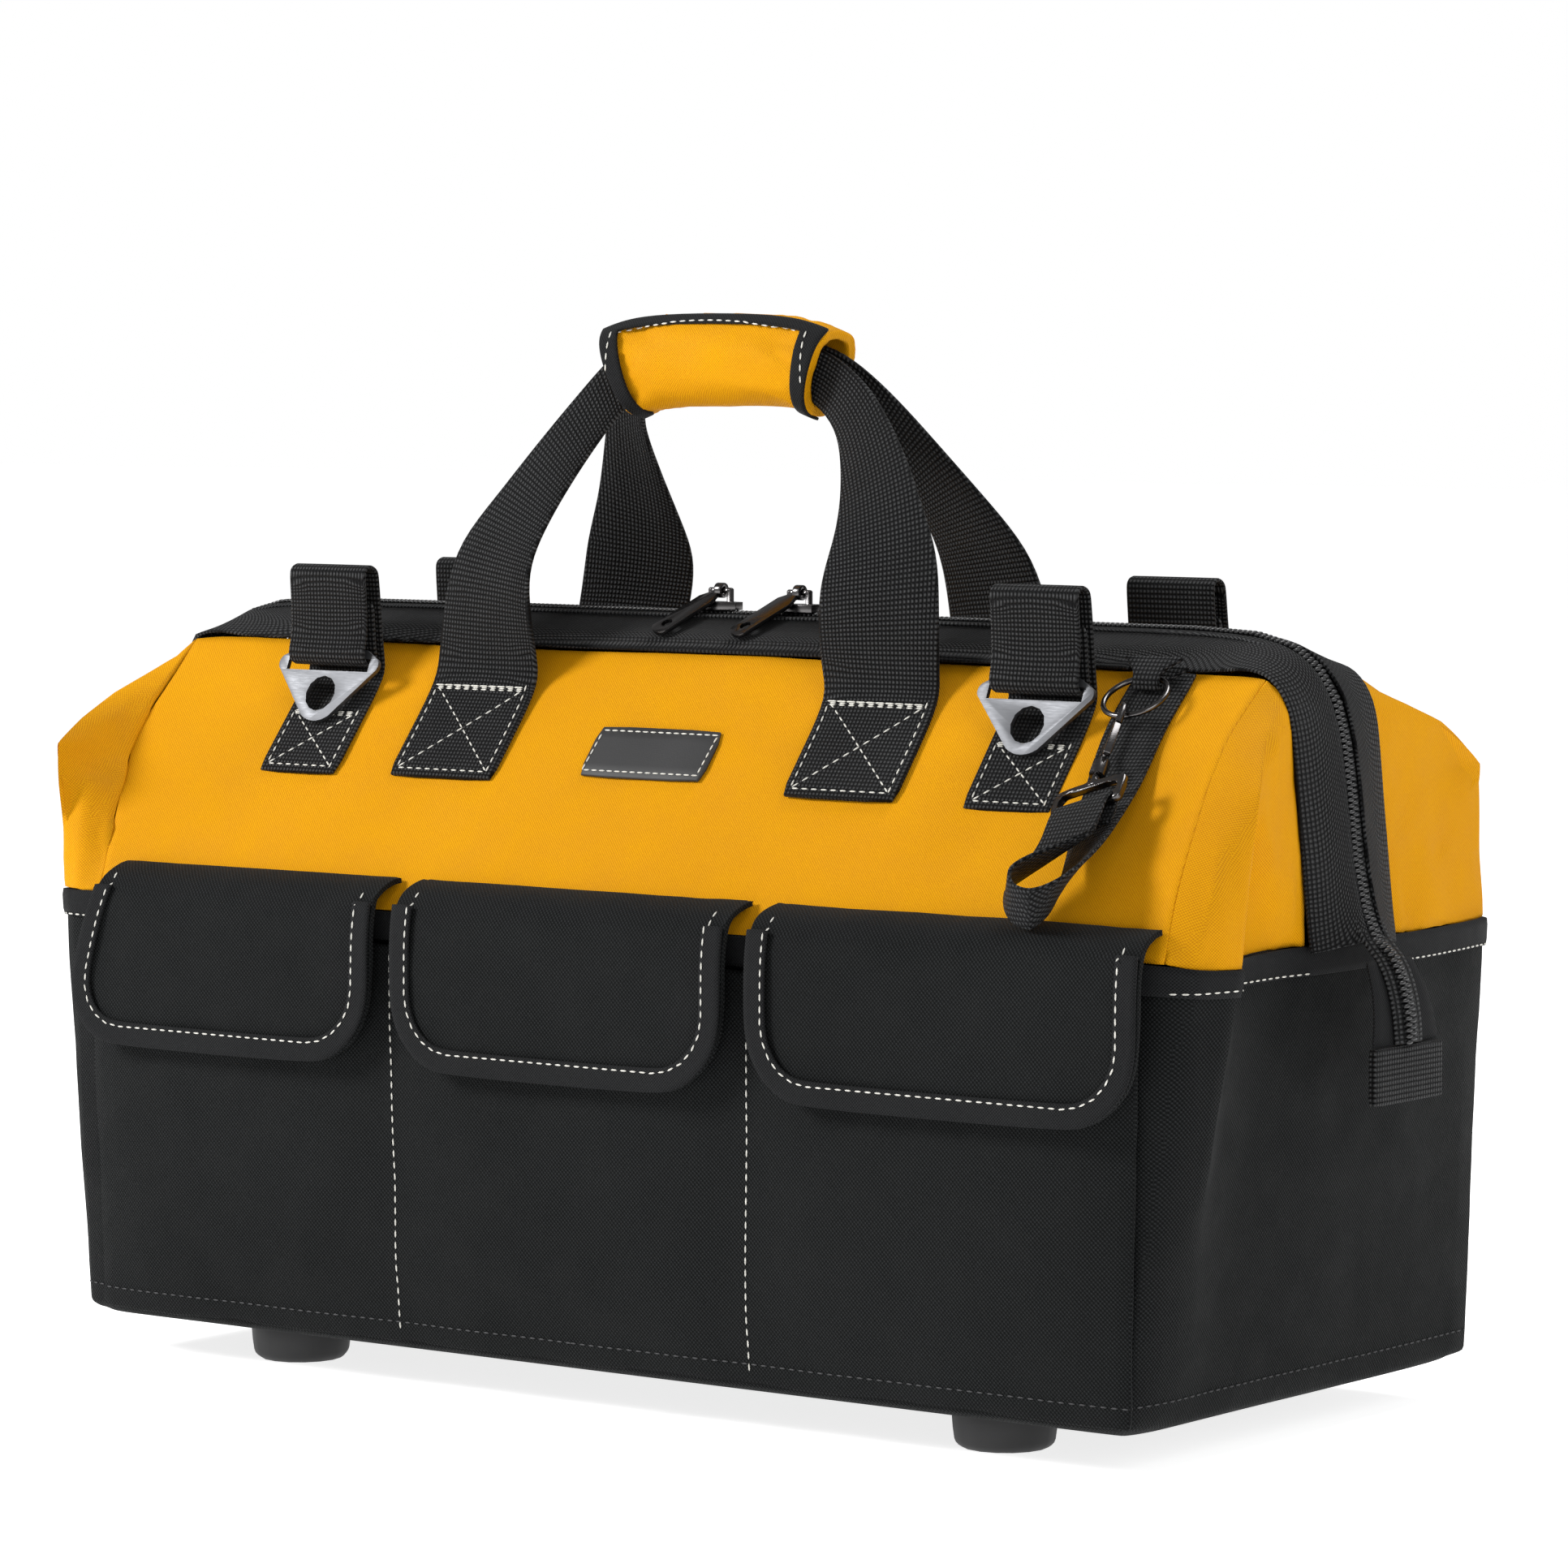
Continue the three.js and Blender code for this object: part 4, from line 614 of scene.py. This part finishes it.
def metal(name, colour, rough, grain):
    """A plated metal with a fine brushed grain."""
    look = bpy.data.materials.new(name)
    look.use_nodes = True
    tree = look.node_tree
    shader = tree.nodes["Principled BSDF"]
    place = node(tree, "ShaderNodeTexCoord").outputs["Object"]
    stretched = node(tree, "ShaderNodeMapping", {"Vector": place, "Scale": (1, 1, 9)}).outputs[0]
    brush = node(tree, "ShaderNodeTexNoise", {"Vector": stretched, "Scale": 260.0, "Detail": 4.0}).outputs[0]
    smudge = node(tree, "ShaderNodeTexNoise", {"Vector": place, "Scale": 35.0, "Detail": 3.0}).outputs[0]
    tone = node(tree, "ShaderNodeMix", {0: smudge, 6: [c * 0.82 for c in colour[:3]] + [1], 7: colour},
                data_type="RGBA")
    tree.links.new(tone.outputs[2], shader.inputs["Base Color"])
    sum_of = maths(tree, "ADD", maths(tree, "MULTIPLY", brush, 0.6), maths(tree, "MULTIPLY", smudge, 0.4))
    dull = node(tree, "ShaderNodeMapRange", {0: sum_of, 1: 0.3, 2: 0.7, 3: rough - 0.06, 4: rough + 0.08})
    tree.links.new(dull.outputs[0], shader.inputs["Roughness"])
    bump = node(tree, "ShaderNodeBump", {"Height": brush, "Strength": 0.25, "Distance": grain})
    tree.links.new(bump.outputs[0], shader.inputs["Normal"])
    shader.inputs["Metallic"].default_value = 1.0
    return look


def machined(node_name, look, edge):
    """A hard piece with its edges broken, as they come out of a tumbling drum."""
    bm = bmesh.new()
    bm.from_mesh(frame["nodes"][node_name].data)
    bmesh.ops.remove_doubles(bm, verts=bm.verts, dist=1e-5)
    bmesh.ops.recalc_face_normals(bm, faces=bm.faces)
    bmesh.ops.dissolve_limit(bm, angle_limit=math.radians(1.5), verts=bm.verts, edges=bm.edges)
    corners = [e for e in bm.edges if e.is_manifold and e.calc_face_angle(0) > math.radians(40)]
    bmesh.ops.bevel(bm, geom=corners, offset=edge, offset_type="OFFSET", segments=2, profile=0.5,
                    material=-1, affect="EDGES", clamp_overlap=True)
    obj = piece(node_name.replace("_", "-"), bm, look)
    obj.data.polygons.foreach_set("use_smooth", [True] * len(obj.data.polygons))
    obj.data.set_sharp_from_angle(angle=math.radians(42))
    return stands_for(obj, node_name)


dark_metal = metal("dark nickel", srgb(96, 94, 94), rough=0.22, grain=0.00005)
for side in ("left", "right"):
    machined(f"zip_slider_{side}", dark_metal, edge=0.0005)
    machined(f"zip_pull_{side}", dark_metal, edge=0.0004)

# Handles
# Two loops of 50 mm webbing, sewn to the panels with a box and a cross, and narrowed where they meet
# in the padded grip.

box_inset = 0.0032
handle_patch = 0.044
top_rows = 3
top_row_step = 0.0008
seam_step = 0.002


def boxed(half, low, high):
    """The seam that holds a webbing end down: a box, a cross in it, and a heavy line at the top."""
    w = half - box_inset
    lines = [
        [(-w, low), (w, low), (w, high), (-w, high), (-w, low)],
        [(-w, low), (w, high)],
        [(w, low), (-w, high)],
    ]
    for k in range(top_rows):
        lines.append([(-w, high - top_row_step * k), (w, high - top_row_step * k)])
    full = []
    for line in lines:
        points = []
        for (u, v), (s, t) in zip(line, line[1:]):
            steps = max(2, int(math.hypot(s - u, t - v) / seam_step))
            points += [(u + (s - u) * k / steps, v + (t - v) * k / steps) for k in range(steps)]
        full.append(points + [line[-1]])
    return full


def sewn_webbing(name, starts, patch, facing):
    """A webbing that follows its run, with sewn ends, each a box and cross patch long."""
    bm = merged(name)
    seams = []
    for k, start in enumerate(starts):
        rows = run_of(bm, start)
        if k == 0:
            strip_yarn(bm, rows)
        first = rows[0]
        places = [(v.co - first[0]).dot(first[3]) for v in first[4]]
        thickness = (max(places) - min(places)) / 2
        sign = 1 if first[3].dot(facing) > 0 else -1
        rows = [[m, a, h, o * sign, r] for m, a, h, o, r in rows]
        for line in boxed(rows[0][2], box_inset, patch):
            seams.append(along_strip(rows, line, thickness))
    strap = rounded(bm, name.replace("_", "-"), webbing, levels=2, crease=0.9, angle=55)
    stands_for(strap, name)
    sewn = []
    for line in seams:
        starts = [place + out * 0.004 for place, out in line]
        sewn.append(on_cloth([strap], starts, [-out for place, out in line]))
    stitches(f"{name.replace('_', '-')}-stitches", sewn, "bag")
    return strap


sides = (("front", Vector((0, -0.7, 0.7))), ("back", Vector((0, 0.7, 0.7))))
for side, facing in sides:
    name = f"handle_strap_{side}"
    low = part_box(name)[0].z
    sewn_webbing(
        name,
        [lambda co: co.z < low + 0.0022 and co.x < 0, lambda co: co.z < low + 0.0022 and co.x > 0],
        handle_patch,
        facing,
    )

# Grip
# A foam pad in golden cloth, wrapped round both straps and closed on itself, with its free edge bound
# in black tape. The pad is blown up a little and left to settle, so that it looks filled.

last_moment = 20
most_move = 0.0014
grip = rounded(merged("handle_grip"), "handle-grip", yellow, levels=2, crease=0.5)
rest_places = np.array([v.co for v in grip.data.vertices])
pad_low, pad_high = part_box("handle_grip")
pins = grip.vertex_groups.new(name="sewn")
for vertex in grip.data.vertices:
    from_end = min(vertex.co.x - pad_low.x, pad_high.x - vertex.co.x)
    pins.add([vertex.index], max(0.0, 1 - from_end / 0.012) ** 0.5, "REPLACE")
filled = grip.modifiers.new("filled", "CLOTH")
filled.settings.quality = 6
filled.settings.mass = 0.3
filled.settings.tension_stiffness = filled.settings.compression_stiffness = 12
filled.settings.shear_stiffness = 6
filled.settings.bending_stiffness = 0.6
filled.settings.use_pressure = True
filled.settings.uniform_pressure_force = 4
filled.settings.shrink_min = -0.02
filled.settings.vertex_group_mass = "sewn"
filled.settings.effector_weights.gravity = 0
filled.point_cache.frame_start, filled.point_cache.frame_end = 1, last_moment
for moment in range(1, last_moment + 1):
    bpy.context.scene.frame_set(moment)
settled(grip)
bpy.context.scene.frame_set(1)
for vertex, rest in zip(grip.data.vertices, rest_places):
    move = vertex.co - Vector(rest)
    vertex.co = Vector(rest) + move * min(1.0, most_move / max(move.length, 1e-9))
crumpled(grip, depth=0.0007, size=0.012, seed=51, stretch=(1.6, 1, 1))
yarn(grip.data)
stands_for(grip, "handle_grip")
edge_tape = rounded(merged("grip_binding"), "grip-binding", tape_look, levels=2, crease=0.7)
yarn(edge_tape.data)
stands_for(edge_tape, "grip_binding")
low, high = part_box("grip_binding")
middle, half = (low.x + high.x) / 2, (high.x - low.x) / 2 - 0.0075
arch = [(x, high.z - 0.0031 - 0.005 * (x / half) ** 2) for x in np.linspace(-half, half, 60)]
ends = [(-half, z) for z in np.linspace(high.z - 0.027, arch[0][1], 20)]
wrap = ends + arch + [(-x, z) for x, z in reversed(ends)]
starts = [Vector((middle + x, low.y - 0.03, z)) for x, z in wrap]
grip_line = on_cloth([edge_tape, grip], starts, [inwards] * len(wrap))
stitches("grip-stitches", [grip_line], "bag")

# Tool loops
# Four loops of 38 mm webbing, sewn to the panels and turned over at the top, each carrying a stamped
# steel plate with a round hole on its lower end.

bright = metal("satin steel", srgb(104, 105, 108), rough=0.5, grain=0.00004)
loop_patch = 0.030
for row, facing in sides:
    for side in ("left", "right"):
        name = f"tool_loop_{row}_{side}"
        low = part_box(name)[0].z
        sewn_webbing(name, [lambda co: co.z < low + 0.002], loop_patch, facing)
        machined(f"loop_plate_{row}_{side}", bright, edge=0.0004)

# Label
# A plain patch of soft black rubber, moulded flat and sewn to the front panel with one line of white
# thread round its border.

rubber = bpy.data.materials.new("black rubber")
rubber.use_nodes = True
rubber_shader = rubber.node_tree.nodes["Principled BSDF"]
moulded = rubber.node_tree
rubber_place = node(moulded, "ShaderNodeTexCoord").outputs["Object"]
grain = node(moulded, "ShaderNodeTexNoise", {"Vector": rubber_place, "Scale": 1600.0}).outputs[0]
dust = node(moulded, "ShaderNodeTexNoise", {"Vector": rubber_place, "Scale": 40.0}).outputs[0]
rubber_tone = node(moulded, "ShaderNodeMix", {0: dust, 6: srgb(20, 20, 21), 7: srgb(40, 40, 41)},
                   data_type="RGBA").outputs[2]
moulded.links.new(rubber_tone, rubber_shader.inputs["Base Color"])
rubber_rough = node(moulded, "ShaderNodeMapRange", {0: dust, 3: 0.5, 4: 0.7}).outputs[0]
moulded.links.new(rubber_rough, rubber_shader.inputs["Roughness"])
rubber_bump = node(moulded, "ShaderNodeBump", {"Height": grain, "Strength": 0.4, "Distance": 0.0001})
moulded.links.new(rubber_bump.outputs[0], rubber_shader.inputs["Normal"])
label = rounded(merged("label_patch"), "label-patch", rubber, levels=2, crease=0.9)
yarn(label.data)
stands_for(label, "label_patch")
low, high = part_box("label_patch")
border = 0.0024
label_half = 0.012
label_pitch = 0.0036
lean = math.radians(47.2)
down = Vector((0, -math.cos(lean), -math.sin(lean)))
outward = Vector((0, -math.sin(lean), math.cos(lean)))
centre = (low + high) / 2
half_wide = (high.x - low.x) / 2 - border
half_tall = label_half - border
corners = [(-1, -1), (1, -1), (1, 1), (-1, 1), (-1, -1)]
outline = []
for (u, v), (s, t) in zip(corners, corners[1:]):
    for k in range(30):
        a = u + (s - u) * k / 30
        b = v + (t - v) * k / 30
        outline.append(centre + Vector((a * half_wide, 0, 0)) + down * (b * half_tall))
outline.append(outline[0])
label_line = on_cloth([label], [p + outward * 0.02 for p in outline], [-outward] * len(outline))
stitches("label-stitches", [label_line], "bag", pitch=label_pitch)

# Tape holder
# A wire ring in a webbing loop sewn under the mouth, a cast swivel snap hook clipped on it, and a strap
# of 25 mm webbing that hangs from the same seam and comes back up to the eye under the hook.

for name in ("ring_loop", "tape_strap"):
    bm = merged(name)
    strap = rounded(bm, name.replace("_", "-"), webbing, levels=2, crease=0.9, angle=55)
    yarn(strap.data)
    stands_for(strap, name)
for name in ("strap_ring", "hook_eye"):
    wire = rounded(merged(name), name.replace("_", "-"), dark_metal, levels=2, crease=0.0, angle=80)
    yarn(wire.data)
    stands_for(wire, name)
machined("snap_hook", dark_metal, edge=0.0003)
machined("snap_gate", dark_metal, edge=0.0003)

# Feet
# Four moulded black rubber feet, one near each corner of the base, which keep its cloth off the
# floor.

for row in ("front", "back"):
    for side in ("left", "right"):
        machined(f"foot_{row}_{side}", rubber, edge=0.0015)

# Studio
# A pale sweep lit by one strong soft lamp from the front left and two weaker ones, seen from the
# front right corner with a long lens.

floor_bm = bmesh.new()
bmesh.ops.create_grid(floor_bm, x_segments=1, y_segments=1, size=12)
floor_look = bpy.data.materials.new("pale floor")
floor_look.use_nodes = True
floor_shader = floor_look.node_tree.nodes["Principled BSDF"]
floor_shader.inputs["Base Color"].default_value = (0.86, 0.86, 0.86, 1)
floor_shader.inputs["Roughness"].default_value = 0.9
floor_shader.inputs["Emission Color"].default_value = (1, 1, 1, 1)
floor_shader.inputs["Emission Strength"].default_value = 0.8
floor = piece("studio-floor", floor_bm, floor_look)

world = bpy.data.worlds.new("studio")
bpy.context.scene.world = world
world.use_nodes = True
sky = world.node_tree
seen = node(sky, "ShaderNodeLightPath").outputs["Is Camera Ray"]
glow = node(sky, "ShaderNodeMapRange", {0: seen, 3: 0.24, 4: 1.0}).outputs[0]
sky.nodes["Background"].inputs["Color"].default_value = (1, 1, 1, 1)
sky.links.new(glow, sky.nodes["Background"].inputs["Strength"])


lamps_aim = Vector((0, 0, 0.2))


def lamp(name, place, size, power):
    """A soft light of that size, in metres, turned to the middle of the bag."""
    light = bpy.data.lights.new(name, "AREA")
    light.shape = "SQUARE"
    light.size = size
    light.energy = power
    obj = bpy.data.objects.new(name, light)
    obj.location = place
    obj.rotation_euler = (lamps_aim - Vector(place)).to_track_quat("-Z", "Y").to_euler()
    bpy.context.scene.collection.objects.link(obj)


lamp("key light", (-1.5, -1.5, 1.4), size=0.7, power=60)
lamp("fill light", (1.9, -1.0, 1.1), size=1.2, power=16)
lamp("top light", (0.5, 0.9, 2.0), size=1.0, power=30)

azimuth, elevation = math.radians(36.72), math.radians(4.07)
looks_at, camera_away = Vector((0.01154, 0.01025, 0.2246)), 2.38424
back = Vector((math.sin(azimuth) * math.cos(elevation), -math.cos(azimuth) * math.cos(elevation),
               math.sin(elevation)))
camera = bpy.data.objects.new("camera", bpy.data.cameras.new("camera"))
camera.data.lens = 145.5
camera.data.sensor_width = 36
camera.location = looks_at + back * camera_away
camera.rotation_euler = (-back).to_track_quat("-Z", "Y").to_euler()
bpy.context.scene.collection.objects.link(camera)
bpy.context.scene.camera = camera
bpy.context.scene.view_settings.view_transform = "Standard"
